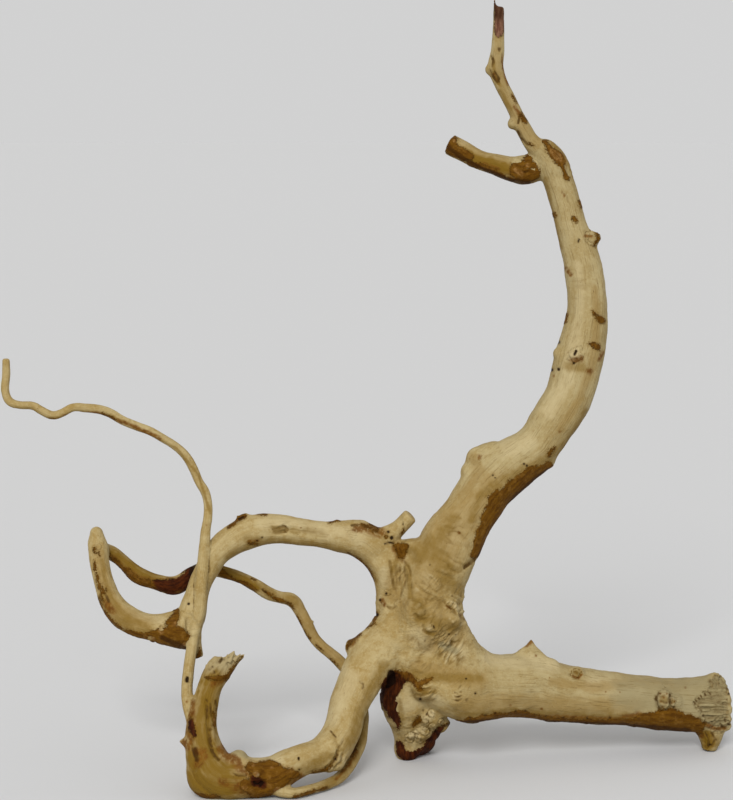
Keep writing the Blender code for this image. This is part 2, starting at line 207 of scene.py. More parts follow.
mark("crack", [(290, 145.3, 0.7), (294, 148.3, 0.8), (296, 150, 0.7)], rise=-0.7)
mark("crack", [(341, 408.6, 0.3), (343.6, 405, 0.4), (346.6, 401, 0.4), (350, 397.6, 0.4)],
     [(344.4, 409.4, 0.3), (347.4, 405.6, 0.4), (350.6, 401, 0.3)], rise=-0.4)
mark("tan", [(345, 406, 2.4), (349, 401, 2.4)])
mark("stain", [(350.4, 403.6, 1.2), (353, 399.6, 1.4)], [(353.6, 332, 1.6), (356.5, 328.4, 1.6)],
     [(376.6, 279.5, 1.4), (374.3, 275, 1.2)])
dots("stain", (286.8, 167, 1.2), rise=-0.3)
dots("stain", (359.8, 369, 0.9), (299.5, 214.5, 2), (368.5, 268, 2.6), (351.4, 380.4, 1.1),
     (348.4, 383.5, 0.9), (352.6, 377.6, 0.9), (346, 265, 1), (332.5, 230.6, 0.9), (349.8, 230.6, 1.1))
mark("bump", [(352, 402, 1), (355, 397, 1), (357, 392, 0.9)], rise=0.7)
# Painted shade: olive, dun and dark brown along the edges and underside.
mark("olive_and_shade", [(346, 410, 2.4), (352, 403, 2.4), (357, 395, 2.4), (360, 388, 2.2)],
     [(341, 388, 2.4), (344, 370, 2.6), (350, 345, 2)], [(366, 243, 2), (355, 224, 3), (343, 213, 4.4),
     (330, 207, 5), (316, 201, 4.4), (300, 190, 3), (294, 175, 3)],
     [(268, 158, 7), (274, 162, 6), (284, 176, 4)])
mark("pit_shade", [(361.9, 350.4, 0.7), (361.2, 348.6, 0.6)], rise=-0.4)
dots("pit_shade", (349, 286, 1.1), (344.6, 268.8, 1.1), rise=-0.8)
dots("pit_shade", (349, 269.2, 1), rise=-0.5)
dots("pit_shade", (327.5, 210, 0.7), (329.2, 209, 0.7), (308, 203, 0.7), (309.6, 201.5, 0.6), rise=-0.3)
mark("dun_and_shade", [(264, 136, 17), (272, 150, 20), (284, 168, 17), (296, 184, 12), (308, 198, 9)],
     [(296, 214, 4), (300, 206, 4), (292, 194, 4)],
     [(372, 320, 2.4), (373, 300, 2.4), (371, 276, 3), (362, 250, 3), (350, 232, 3)])
mark("dark_and_shade", [(342, 206, 1.6), (333, 198, 2.6), (322, 188, 3), (315, 177, 2.6), (307, 163, 2.4),
     (300, 152, 2)], all_round=True)
# Painted highlight: pale cream down the middle and along the top.
mark("pale_and_highlight", [(361, 335, 3), (363, 318, 3), (361, 300, 4), (355, 265, 5.4), (343, 243, 6)],
     [(318, 220, 8), (330, 224, 6)], [(283, 166, 5), (279, 160, 5)])
fold((346, 404, 8, -52, 2.4, 1.0))
# The eye knot: a low swelling, with its two pits painted black and its ring groove brown as painted shade.
dots("bump", (359.6, 277, 7), rise=0.9)
mark("stain", [(357.5, 274.5, 2.2), (363, 275.6, 2.6)])
# Painted shade: olive under the swelling.
mark("olive_and_shade", [(356, 271, 4), (364, 271, 4)])
mark("pit_shade", [(360, 280.6, 0.7), (359, 278.3, 0.8)], rise=-1.2)
dots("pit_shade", (358.6, 273, 0.8), rise=-1.2)
mark("crease", [(357, 276, 0.5), (360.5, 275, 0.6), (363.5, 276, 0.4)], rise=-0.6)
dots("ring", (359.6, 277.8, 4.2), rise=0.45)
# The knot on the right edge, with its curled rings.
dots("ring", (370.6, 351, 2.2), rise=0.5)
dots("ring", (370.6, 351, 4), rise=0.6)
mark("stain", [(364.6, 352.6, 1.1), (369.5, 352.2, 1.3)])
mark("bark", [(372.5, 354.5, 0.8), (374, 351, 0.9), (371.5, 347, 0.8)], rise=0.3)
# Low ripples across the lower stretch, where the limb leaves the crown.
fold((284, 166, 16, -12, 3.6, 1.1), (300, 172, 12, -25, 3.6, 0.6), (310, 192, 14, -40, 4.4, 0.7),
     (345, 262, 16, 70, 5.5, 0.44), (362, 322, 18, 12, 5, 0.5), (362, 296, 14, 40, 4.4, 0.5))


# The thin twig at the top
# A finger-thin shoot that leaves the big limb's top and snapped off, which left a sliver
# standing. It is wood with the last hand's breadth still in its dark skin.
limb("top twig", [
    (341, 402, 16, 7), (332, 411.5, 15, 5), (327, 420, 14, 4.5), (322, 430, 13, 3.9),
    (317, 440, 12, 4), (312.5, 449, 11, 4), (309.8, 458, 10, 4.5), (311, 468, 9, 3.8),
    (311.4, 480, 8, 3.5), (311.7, 496, 6, 3.2)])
knots((306.9, 456.5, 10, 3.4), (320.5, 422.6, 13, 3.2))
spike((310.3, 488, 6.5), (308.8, 501, 6), 2.4)
mark("bark", [(320, 440.6, 0.6), (322, 436.4, 0.9)], [(330.6, 410.2, 0.5), (333, 409, 0.5)], rise=0.2)
mark("bark", [(325.6, 428, 0.8), (328.6, 424.4, 1.2)], rise=0.3)
mark("bark", [(312, 480.4, 3), (312, 497, 3.4)], rise=0.15, all_round=True)
mark("plum", [(311.5, 478, 6), (311.5, 499, 7)], all_round=True)
mark("dark_and_shade", [(311.5, 491, 4), (311.5, 497, 4)], all_round=True)
mark("crack", [(326.4, 430, 0.3), (324.6, 426.6, 0.4), (323.8, 423, 0.3)],
     [(323.6, 418, 0.4), (326, 413.6, 0.6), (329.6, 409.6, 0.5)], rise=-0.5)
mark("crack", [(307.4, 465, 0.4), (308.4, 462, 0.5), (307.4, 458.6, 0.4)],
     [(305.8, 456.6, 0.4), (308, 452.4, 0.5), (311.4, 447.8, 0.5)],
     [(309, 455.4, 0.3), (311.8, 450.6, 0.5), (311.4, 447.8, 0.4)], rise=-0.4)
mark("crack", [(311.2, 469.6, 0.4), (312.2, 468.6, 0.6), (312.8, 469.8, 0.4)], rise=-0.3)
mark("stain", [(308.6, 453.6, 1.2), (310.8, 449.6, 1)],
     [(313.6, 466, 0.8), (314, 458, 0.8), (316.4, 450, 0.9)], [(315.4, 452, 0.9), (317.6, 446.6, 1)],
     [(321, 434, 1.2), (326, 427, 2)])
mark("olive_and_shade", [(313, 443, 2.4), (319, 432, 2.2)], [(308.4, 462, 1.4), (309, 452, 1.6), (313, 446, 1.4)])
mark("dun_and_shade", [(311.4, 476, 3.2), (310, 458, 3.6), (317, 438, 3.4), (327, 420, 4.4), (336, 410, 5)],
     all_round=True)


# The side branch at the top
# A short branch that bends back to the left from behind the top. Its outer end was cut long
# ago, and brown bark still wraps both ends of it.
limb("top side branch", [
    (341, 396, 18, 7), (328, 394, 20, 9), (320, 394.5, 21, 7.5), (310, 397.3, 23, 6.4),
    (300, 400, 25, 5.9), (290, 405.4, 27, 6.2), (281.1, 410, 28, 6.2)])
mark("bark", [(330, 400, 3), (331.5, 405.5, 2.2)], rise=0.3)
mark("bark", [(280, 412, 3), (283.5, 413.5, 2.2)],
     [(293, 398.4, 1.2), (299, 396.4, 1.9), (305.5, 394.6, 1.5), (313, 390.8, 0.9), (320, 388, 1.2)],
     rise=0.3, all_round=True)
mark("bark", [(281, 409, 4.4), (284, 405.5, 4.2), (289.5, 403.4, 3.4), (294, 402.2, 1.8)], rise=0.35,
     all_round=True)
mark("bark", [(321, 397.5, 2), (324.5, 394, 6.2), (330, 393, 6.6), (334.5, 391.5, 3.6)], rise=0.4,
     all_round=True)
dots("pale_and_highlight", (289.5, 410.5, 2.6))
mark("tan", [(322.6, 394, 1.6), (326, 391, 1.8)])
dots("tan", (330, 397, 1.6), (284, 412, 1.2))
mark("dun_and_shade", [(288, 405, 8), (300, 399, 9), (314, 395, 9)], all_round=True)
mark("bare", [(327.4, 394.4, 0.5), (331, 395, 0.6), (335.4, 393.6, 0.5)],
     [(320.6, 399, 0.8), (325, 399.4, 0.7)])
mark("crack", [(321.6, 396.6, 0.4), (326, 393, 0.4), (332, 391.6, 0.4)],
     [(328.6, 392, 0.4), (334, 396, 0.4)], rise=-0.5)
mark("stain", [(302, 398, 1.2), (311, 394.6, 1.4)])
mark("stain", [(322, 392, 5), (329, 388, 5)], all_round=True)
mark("olive_and_shade", [(290, 403, 4), (297, 400, 5), (307, 397, 6), (316, 394.5, 6)])
mark("deep", [(288, 405, 3.6), (298, 399.6, 4.2), (310, 396.6, 4.6), (318, 394, 5)], all_round=True)
mark("dark_and_shade", [(280, 408, 1.6), (288, 402, 1.4), (300, 395.4, 1.2), (320, 386.4, 2), (330, 386, 2)],
     all_round=True)
fold((328, 394, 10, 60, 2.9, 1.1))


# The right limb
# The second root, laid low to the right. Its skin is worn to fine straight fibres, with one
# thorn on top, two round knots, and a thin ragged rim of bark along the underside.
limb("right limb", [
    (262, 90, 4, 20), (275, 79, 3, 21.5), (290, 72.1, 4, 22), (310, 71, 9, 19.8),
    (330, 71.2, 15, 19.8), (350, 67, 20, 17.6), (370, 64.8, 26, 16.3), (390, 62.9, 31, 16.2),
    (410, 60.6, 36, 16.6), (430, 59.7, 40, 16.8), (445, 60, 42, 16.8), (453, 60, 43, 15)])
web("fork web", [(276.5, 113, 2, 13), (285, 97, 3, 12.4), (297, 82.5, 5, 12.6), (312, 76.5, 9, 13)])
knots((360, 78.6, 14, 4.4), (415, 63, 20, 5.5), (421.5, 62, 23, 4.6), (342, 81.5, 14, 8.2))
spike((333, 84, 14), (332, 101.6, 10), 11)
spike((325, 82, 13), (330.5, 99.4, 10), 6)
spike((319, 80, 12), (329.6, 98, 10), 8)
spike((341, 82, 14), (333, 100.2, 10), 7)
for across, up in ((294, 51.6), (303, 53), (309.4, 54.2), (322, 55.4), (328, 55.8), (341, 52.6),
                   (352, 51.8), (358, 51.6), (367, 51.2), (373, 51.4), (381, 51.8), (388, 52)):
    dots("dark_and_shade", (across, up, 0.8))
for across, up in ((412.6, 66.6), (414.8, 64.2), (416.6, 66.4), (413.2, 61.6), (416.4, 60.6), (414, 58.4),
                   (420, 63.4), (421.6, 61.6), (419.6, 60.4)):
    dots("stain", (across, up, 0.7))
mark("bark", [(279, 47.8, 0.8), (290, 49.6, 0.9), (300, 50.5, 1.7), (309, 52.4, 2.5), (316, 52, 1.7),
     (325, 53.6, 2.9), (334, 51.6, 1.8), (345, 50.3, 1.2), (360, 49.4, 1.3), (375, 48.8, 1.5),
     (387, 48.6, 2.6), (394, 48, 3.2)], rise=0.4, all_round=True)
mark("bark", [(396, 47.5, 3.4), (403, 49, 5.6), (410, 49, 6.2), (417, 50, 7), (424, 48.5, 6.6),
     (430, 47.5, 5.6), (436, 46, 4.4)], rise=0.45, all_round=True)
mark("stain", [(300, 51, 2), (318, 53, 2.4), (335, 52, 2), (385, 50, 2.4), (400, 53, 3)],
     [(358, 77.4, 0.9), (361, 76, 1.1), (363.4, 78.4, 0.9)], [(329, 96, 1.2), (331.8, 99, 2)])
dots("stain", (378.5, 67.5, 0.8), (343.5, 76.5, 0.7), (319, 59.2, 1), (338.5, 57, 1), (428.5, 70, 1.1),
     (334.8, 90.2, 1.1), (387.4, 67.4, 0.9), rise=-0.2)
# Painted shade: dark brown along the underside edge and olive above it.
mark("dark_and_shade", [(276, 46.4, 1), (292, 48.6, 1.3), (320, 49.8, 1.5), (350, 48.4, 1.3), (390, 46.4, 2),
     (430, 43, 2)], all_round=True)
mark("olive_and_shade", [(285, 52, 3), (320, 55, 3.4), (360, 52, 3.4), (395, 52, 3.4)])
dots("olive_and_shade", (360, 78.6, 4.4), (414.6, 62.6, 3.4), (420.6, 61.6, 1.8))
mark("dun_and_shade", [(290, 60, 7), (330, 60, 8), (370, 58, 7), (400, 60, 5)],
     [(345, 74, 3), (372, 70, 4), (396, 73, 4), (426, 72, 5)])
# Painted highlight: pale along the top and middle.
mark("pale_and_highlight", [(425, 60, 5), (433, 57, 5), (438, 56, 4)], [(370, 73, 6), (400, 68, 7)],
     [(305, 88, 5), (330, 86, 6), (345, 84, 5)])
dots("pale_and_highlight", (317.4, 55.6, 1.8))
mark("grey", [(424, 73, 7), (434, 68, 9), (440, 74, 7)])
mark("ring", [(420.4, 60.4, 1.8), (420.4, 62.8, 1.8)], rise=0.7)
mark("ring", [(414.6, 60.6, 3.9), (414.6, 65, 3.9)], rise=0.8)
dots("ring", (360, 79.2, 2.8), rise=0.9)
mark("crease", [(358.6, 80.4, 0.3), (361, 79.2, 0.3), (362.6, 77.8, 0.2)],
     [(412.4, 64.4, 0.25), (415.6, 65.4, 0.3)], [(413.4, 61.8, 0.25), (416.4, 60.2, 0.3)], rise=-0.7)
mark("bump", [(414.6, 60.6, 4.6), (414.6, 65, 4.6)], rise=0.9)
mark("bump", [(420.4, 60, 2.4), (420.4, 63, 2.2)], rise=1.2)
mark("fresh", [(414.6, 61, 3), (414.8, 65, 2.8)], [(420.6, 60.6, 1.6), (420.6, 62.6, 1.5)])
mark("crack", [(411.6, 66.8, 0.4), (410, 63, 0.6), (410.8, 58.6, 0.6), (413, 56.4, 0.5)],
     [(418.4, 66, 0.4), (418.4, 62, 0.5), (418.8, 58, 0.4)], rise=-0.5)
dots("pit_shade", (421, 58.2, 0.8), rise=-0.4)
fold((330, 66, 30, 1, 2.4, 0.22), (375, 66, 30, -2, 2.4, 0.22))


# The torn end of the right limb
# The limb was torn off here, so its fibres stand out in bundles past a ragged lip of skin. A
# short stub of a side root hangs under it, worn round, and the piece stands on it.
FIBRE_ROOT = 434.0
FIBRE_LEAN = 0.68
TORN_UP = 60
TORN_DEPTH = 41
TIP_SEED = 11
TIP_COUNT = 26
TIP_ROOT = 446
TIP_REACH = 456.4
TIP_UP = 59.5
TIP_DOME = 0.16
web("torn end stub", [(443, 54, 41, 11), (443.8, 43, 41, 8.7), (443.8, 37, 40, 6.5), (443, 31, 40, 4.3)])
for up, depth, tip_across, radius in (
        (75, 42, 450.5, 4.8), (70, 33, 454.4, 4.8), (63.5, 29, 457.2, 5.2), (56.5, 28, 457.8, 5),
        (50.5, 31, 457.4, 4.8), (46.2, 38, 457, 4.8), (71.5, 50, 453.4, 4.8), (60, 52, 456.2, 5),
        (50, 49, 454.5, 4.8)):
    root_up = TORN_UP + (up - TORN_UP) * FIBRE_LEAN
    root_depth = TORN_DEPTH + (depth - TORN_DEPTH) * FIBRE_LEAN
    spike((FIBRE_ROOT, root_up, root_depth), (tip_across, up - 0.5, depth), radius, radius * 0.55)
tip_draw = random.Random(TIP_SEED)
fine_tips = []
for number in range(TIP_COUNT):
    turn = math.tau * number / TIP_COUNT + tip_draw.uniform(-0.1, 0.1)
    out = tip_draw.uniform(5.0, 12.5)
    up = TIP_UP + math.sin(turn) * out
    depth = TORN_DEPTH - math.cos(turn) * out
    reach = TIP_REACH - out * TIP_DOME + tip_draw.uniform(-1.6, 1.6)
    fine_tips.append(((TIP_ROOT, up, depth), (reach, up, depth), tip_draw.uniform(1.4, 2.4)))
knots((446.5, 72.8, 38, 6.4))
for across, up, right, drop in (
        (433.6, 61.2, 0.9, 1.1), (434.8, 62.6, 1.1, 1.7), (436.5, 63.9, 0.7, 1.2), (437.7, 65.4, 1.5, 2.1),
        (440.4, 66.7, 0.5, 1.4), (442.9, 67.2, 1.0, 1.0), (436.2, 58.4, 1.6, 0.5), (437.2, 50.9, 1.3, 1.2),
        (439.4, 48.2, 1.7, 0.4), (452.6, 50.8, 0.6, 1.7), (454.4, 47.8, 1.5, 0.5), (450.2, 47.2, 1.1, 1.6)):
    mark("crack", [(across, up, 0.15), (across + right, up - drop, 0.3)], rise=-0.5)
for across, up, right, drop in ((443.2, 74.6, 2.6, 1.8), (446.4, 76.2, 2.2, 2.6), (444.4, 70.6, 3.4, 0.6),
                                (450.6, 75.4, 1.6, 2.4), (448.6, 71.4, 3.2, 1.4)):
    mark("crease", [(across, up, 0.3), (across + right, up - drop, 0.4)], rise=-1.2)
for start, end, up, drop in ((440.6, 452, 65.4, 0.8), (438, 448, 62.4, -0.4), (444, 455, 60, 0.3),
                             (439.4, 450, 57.4, 0.7), (442, 454.6, 54.6, -0.5), (441, 449, 51.6, 0.6)):
    mark("crease", [(start, up, 0.3), ((start + end) / 2, up - drop, 0.5), (end, up - drop * 0.6, 0.3)],
         rise=-0.9)
mark("grey", [(392, 66, 12), (415, 64, 17), (440, 60, 20)], all_round=True)
mark("torn", [(450, 73.6, 5.4), (449, 68, 6), (446.4, 62, 8.6), (439, 60.4, 5), (446.6, 55, 8.4),
     (447.6, 49, 7)], rise=-0.8, all_round=True)
dots("pit_shade", (438, 56.2, 0.7), (439.4, 52.6, 0.8), (443.6, 74.2, 0.7), (450, 77, 0.8), (455.2, 66.4, 1),
     (454.4, 69.4, 0.8), rise=-0.8)
dots("pit_shade", (443.6, 34.6, 0.7), (447.6, 37.6, 0.6), rise=-0.5)
mark("stain", [(441, 47, 2), (447, 44.6, 1.6), (453, 45, 1.6)], [(436, 43, 2.4), (438.6, 40, 2)])
mark("bark", [(417, 54.6, 1.4), (421, 56, 1.6), (424.6, 54.4, 1.2)], rise=0.2)
mark("crack", [(441, 42, 0.4), (443, 38, 0.5), (442.4, 33.4, 0.5)], rise=-0.7)
mark("crack", [(444.6, 42, 0.4), (446.4, 38.6, 0.4), (445, 34, 0.4)],
     [(438.8, 39.6, 0.4), (440.6, 36, 0.4), (441.4, 32.6, 0.4)], rise=-0.6)
dots("olive_and_shade", (443, 36, 9), all_round=True)
mark("deep", [(441.6, 41, 4), (443, 34, 4.4)])
mark("pale_and_highlight", [(446.4, 40, 1.6), (444.6, 36.4, 1.2)])
fold((447, 59, 16, -2, 3.2, 1.7), (447, 73, 8, 30, 2.6, 1.8), (446, 48, 8, 38, 2.4, 1.3),
     (443, 37, 9, 62, 2.4, 1.6))


# The burl
# A knotty swelling under the crown, of wood that grew in buds and folds. It stands on the
# ground, and its left side and lower rim are still in dark red-brown bark.
limb("burl", [
    (258, 88, 4, 19), (256, 72, 7, 17.5), (255, 60, 12, 16), (257, 48, 19, 13.5),
    (258.5, 38, 26, 12)])
web("burl heel", [(258, 40, 22, 11), (262, 37, 33, 9), (265, 37, 41, 7.5)])
knots((254.3, 32.3, 22, 8.2), (269, 43, 20, 6.4), (267, 36, 24, 4.8), (269, 53, 4, 8), (264.5, 43, 10, 6),
      (275, 48, 12, 6), (248.6, 63, 10, 10.7), (258, 90.5, -3.5, 12.8), (256, 97, -2, 13))
# Knotty wood has no edge between its limbs, so its marks lie on any of them.
marked.append(ANY_LIMB)
for across, up, radius in ((270.3, 54.1, 2.5), (265.7, 50.8, 2.5), (265.1, 43.3, 2.9), (270.3, 45.4, 2.5),
                           (275.9, 48.5, 2.1), (255.9, 38.6, 2.9), (262, 38.4, 2.8), (259.4, 41.4, 2)):
    dots("bump", (across, up, radius * 1.3), rise=1.5)
    dots("ring", (across, up, radius * 0.85), rise=0.7)
    mark("crease", [(across - radius * 0.4, up + radius * 0.2, 0.3),
         (across + radius * 0.4, up - radius * 0.3, 0.3)], rise=-0.7)
mark("bark", [(258, 74, 1.2), (262, 72.6, 1.5), (266, 74.2, 1.7), (269.4, 75.8, 1.2)],
     [(260.6, 71.6, 1.2), (262.6, 69.6, 1.4), (264, 69, 0.8)], rise=-0.3)
mark("bark", [(258.4, 46.6, 1.1), (261.6, 49.6, 1.9), (262, 51.4, 1)], rise=-0.2)
mark("bark", [(247, 79, 2.6), (253, 77.4, 3), (257.6, 75.2, 2), (260, 73.6, 1.2)], rise=0.3)
mark("bark", [(240.6, 66, 2), (240.4, 60, 1.6), (243.6, 53, 1.4)], rise=0.8)
mark("bark", [(250, 76.5, 4.6), (244.5, 71, 6.6), (242, 63.5, 5.6), (245.5, 56, 3.4), (248, 49, 2.4),
     (248.6, 46, 1.4)], [(249.2, 35.4, 1.6), (250.6, 30.5, 3.6), (254, 27, 3.4), (259, 27.6, 2.6),
     (264, 30, 2.5), (268.6, 34, 3.1), (272, 39, 2.9), (274.6, 43.2, 2), (277.4, 47, 1.1)], rise=0.4,
     all_round=True)
mark("red", [(247, 70, 12), (244, 60, 10), (247, 50, 8), (250, 32, 9), (262, 29, 9), (273, 42, 8)],
     all_round=True)
mark("pit_shade", [(244.4, 79, 2.4), (244.6, 74.6, 3.2), (242, 71, 1.4)], rise=-1.0)
dots("pit_shade", (262.6, 63, 1), rise=-0.8)
dots("pit_shade", (266.6, 53.6, 0.8), rise=-0.7)
dots("pit_shade", (264.4, 56, 0.6), rise=-0.4)
mark("olive_and_shade", [(250, 62, 2), (251, 48, 2.4)], [(258, 68, 2), (264, 67, 1.8), (272, 67.6, 1.6)])
mark("bare", [(248.6, 56.6, 1), (251.6, 63, 1.1)])
mark("pale_and_highlight", [(263, 62, 5), (273, 62, 5)], [(248, 63, 3), (250, 57, 4), (256, 60, 5)],
     [(270, 53, 3), (266, 49, 2.4)], [(266, 52, 3), (264, 46, 3), (258, 40, 2.6)])
mark("bump", [(262.6, 70, 1.6), (266, 70.4, 1.2), (270, 72.4, 1.7)], rise=0.7)
mark("crease", [(261, 68.6, 0.25), (264.6, 68, 0.4), (268.4, 69.6, 0.25), (271.4, 69.4, 0.3)],
     [(259.6, 66, 0.25), (263, 65.2, 0.35), (266.4, 66.4, 0.25)], rise=-0.6)
fold((267, 68, 9, 24, 2.7, 1.0), (256, 37, 8, 72, 2.4, 1.1), (270, 46, 9, 35, 2.6, 0.8),
     (247, 64, 8, 70, 2.6, 0.9))


# The crown
# The middle, where every limb was once joined to the trunk: cross-grained wood in folds,
# ripples and small buds, with a hollow at the crotch that still holds brown bark.
web("crotch web", [(246, 151.5, 0, 9.4), (256, 153, 0, 10.2), (265, 153, 0, 11.6)])
knots((260, 118, -15, 8.5), (269, 108, -17, 7), (282, 113, -14, 6), (284.5, 65, -13, 6.5),
      (265, 70, -12, 8), (223, 94.5, -3, 6.6))
# Small beads, each with a painted highlight on its top.
for across, up in ((279.6, 123.4), (281.8, 121.8), (284.2, 120.6), (286.4, 119.4), (288.6, 117.8),
                   (281, 113.2), (283, 111.4), (278, 120)):
    dots("bump", (across, up, 1.6), rise=0.9)
    dots("pale_and_highlight", (across, up + 0.4, 0.8))
for up in (62.4, 64.8, 67):
    mark("crack", [(284.2, up, 0.15), (286, up - 0.4, 0.3), (288, up + 0.3, 0.15)], rise=-0.8)
spike((238, 115, 2), (232.6, 113, 0), 2.6)
mark("bark", [(247.4, 159.4, 1.4), (253.6, 159.2, 1.6), (250.6, 156.6, 3), (251, 151.6, 1.9)], rise=-0.8)
mark("bark", [(233.4, 112.4, 1.1), (235, 116.8, 1.3)], rise=0.2)
mark("stain", [(248, 158, 4), (251, 152, 4)], [(238.4, 125, 1.6), (240, 122, 1.8)],
     [(279, 121.4, 0.7), (281.6, 119.4, 0.6)])
dots("stain", (288, 115.4, 0.8))
# The dark creases under the two buds are painted shadow.
mark("crease", [(264.8, 106, 0.4), (268.6, 104, 0.6), (272.4, 104.4, 0.4)], rise=-0.9)
mark("crease", [(259.4, 116, 0.4), (262, 113.4, 0.6), (266, 113.4, 0.4)], rise=-0.8)
mark("crease", [(243.6, 149, 0.4), (245, 141, 0.5), (246, 132, 0.4)],
     [(242, 121, 0.2), (244.2, 119.6, 0.5), (246.8, 120.6, 0.2)],
     [(263.4, 109.6, 0.3), (265.6, 106.6, 0.4)],
     [(277.6, 123.6, 0.3), (281, 120.4, 0.4), (283.6, 118, 0.3)],
     [(284.4, 117.4, 0.3), (287, 115.4, 0.4), (290, 112.6, 0.3)], rise=-0.6)
mark("crease", [(253, 149, 0.3), (256, 144.6, 0.35), (256.8, 140, 0.3)], rise=-0.5)
mark("crease", [(257.2, 136.6, 0.2), (257, 131, 0.3), (257.8, 125.6, 0.2)],
     [(252.6, 146, 0.2), (253.4, 139, 0.3), (252.4, 132, 0.2)],
     [(247.8, 146, 0.2), (248, 137, 0.3), (247.4, 129, 0.2)],
     [(250, 147, 0.3), (249.4, 139, 0.4), (251, 131, 0.4), (250, 124, 0.3)], rise=-0.4)
# Olive, mostly painted shade: under the two buds, by the creases of the crotch and in a band low on the
# crown.
mark("olive_and_shade", [(255, 146, 2), (256, 136, 1.8), (256, 126, 1.6)], [(245, 143, 1.6), (249, 151, 2.4)],
     [(260.4, 115.4, 1.4), (264, 113.4, 1.4)], [(275, 109, 3), (281, 108, 3.6)],
     [(266.6, 104.6, 1.2), (271, 103.4, 1.4)], [(260, 124, 5), (264, 113, 5), (276, 110, 6), (283, 108, 5)],
     [(262, 154, 9), (272, 158, 9), (276, 146, 8), (284, 132, 7)],
     [(252, 82, 3), (262, 78, 3.4), (278, 76, 4), (298, 76, 4)])
dots("ring", (241.8, 130.2, 2), rise=0.5)
mark("pit_shade", [(270.8, 108.8, 0.45), (271.4, 107.4, 0.45)], rise=-0.7)
dots("pit_shade", (235.4, 115.8, 1.2), rise=-1.0)
dots("pit_shade", (241.4, 129, 0.7), rise=-0.7)
dots("pit_shade", (237.4, 125, 0.8), (280.4, 103.6, 0.55), (284.6, 103.4, 0.5), (265.4, 99.4, 0.55),
     (291.6, 62.6, 0.8), (297, 66.6, 0.7), (291.2, 75.8, 0.6), (268.6, 147, 0.5), (282.6, 127.4, 0.5),
     rise=-0.5)
dots("bump", (262, 118.4, 5), (268.4, 108.6, 5), rise=1.0)
dots("bump", (285.4, 65, 5), rise=1.2)
mark("dun_and_shade", [(262, 124, 13), (274, 116, 13), (284, 106, 11), (272, 100, 9)], [(246, 142, 6), (246, 128, 6)],
     [(262, 84, 6), (284, 78, 7), (300, 74, 6)])
mark("grey", [(276, 97, 2.6), (284, 93, 2.6)])
dots("ripple", (279, 97, 9), (284, 90, 8), (275, 103, 6), (282, 121, 7), (266, 112, 7), (264, 84, 5),
     (270, 134, 7), (252, 138, 6), (268, 66, 6), (288, 72, 6))
mark("pale_and_highlight", [(266, 141, 3), (266, 135, 2.4)], [(262, 102, 7), (268, 96, 6)],
     [(240, 143, 4), (241, 135, 4)], [(282, 98, 6), (287, 92, 6)])
fold((282, 93, 15, 48, 2.2, 1.8), (276, 101, 8, 20, 2.3, 1.2), (268, 133, 17, -38, 3, 0.9),
     (285, 121, 12, -30, 2.6, 1.3), (262, 84, 10, 62, 2.6, 0.6), (250, 139, 11, 86, 2.6, 0.8),
     (264, 117, 12, 30, 2.8, 1.0), (280, 147, 17, -14, 3.4, 1.0), (258, 100, 9, 40, 2.6, 0.45))


# The lower left limb
# The smoothest root: it drops forward from the crown to the elbow that lies on the ground,
# is half in brown bark there, and turns up again.
limb("lower left limb", [
    (252, 108, 2, 17), (245, 101, 0, 16.6), (237, 91.5, -4, 15.8), (230, 83, -9, 14.6),
    (225.2, 74.2, -14, 13), (217, 57.5, -24, 11.7), (212.8, 42.2, -33, 11.8),
    (206, 31.8, -41, 11.8), (198, 27.5, -46, 10.6), (191, 26, -50, 10), (181, 21.5, -54, 10.5),
    (170, 15.6, -57, 11.5), (160, 14, -58, 12.2), (150, 14, -58.5, 13), (140, 14.5, -58.5, 13.2),
    (134, 18.5, -58, 13.2), (130, 25, -56, 12.6), (127, 34, -54, 11.3), (126, 44, -51, 10),
    (127, 54, -49, 8.8), (129, 63, -47, 7.7), (131.3, 71, -46, 7.3), (135, 79, -45, 8),
    (140, 86, -44, 7.6)])
web("elbow heel", [(138, 12.5, -57.5, 11.4), (128.9, 12.4, -57, 10.3), (127.8, 24, -56, 10.5)])
knots((149, 25.4, -61, 6.3), (160.5, 16.5, -67.5, 4.2), (222.5, 95.4, -3, 6.8), (229, 98, -6, 8),
      (210, 23, -44, 4.6), (205, 21, -44, 3.6))
mark("bark", [(204, 19.6, 1.2), (207, 21.4, 0.7)], rise=-0.4)
mark("bark", [(216.8, 95, 0.9), (218.4, 99.4, 1.4), (221, 101.6, 1.3), (225.4, 103.6, 0.8)], rise=-0.3)
mark("bark", [(229, 107.6, 0.5), (234.4, 110.6, 0.6)], rise=0.1)
mark("bark", [(204.6, 19.2, 1.3), (201, 18.6, 0.8), (195, 17.4, 0.6)], rise=0.2)
mark("stain", [(219, 97, 2.2), (223, 102, 2)])
mark("pit_shade", [(186.6, 26.2, 0.7), (186.8, 25.2, 0.5)], rise=-0.9)
dots("pit_shade", (209.6, 25.6, 0.9), rise=-0.8)
dots("pit_shade", (187, 19, 0.8), rise=-0.4)
mark("crack", [(211, 30.4, 0.2), (210.4, 27.4, 0.5), (208.6, 24.6, 0.4), (206, 22, 0.3),
     (203.8, 20.2, 0.3)], rise=-1.4)
mark("crack", [(206.4, 43.2, 0.15), (209.6, 39.4, 0.15)], rise=-0.4)
mark("crack", [(225, 74, 0.4), (227, 72.4, 0.4), (226.6, 70, 0.4)], rise=-0.25)
mark("crease", [(214, 28, 0.3), (212.6, 24, 0.4), (209, 20.6, 0.3)], rise=-0.8)
mark("crease", [(209, 38, 0.2), (211.6, 34, 0.2), (211, 30, 0.2)], [(214.6, 38, 0.2), (212.4, 33, 0.2)],
     rise=-0.4)
mark("bump", [(212, 24, 6), (206, 20, 4)], rise=1.2)
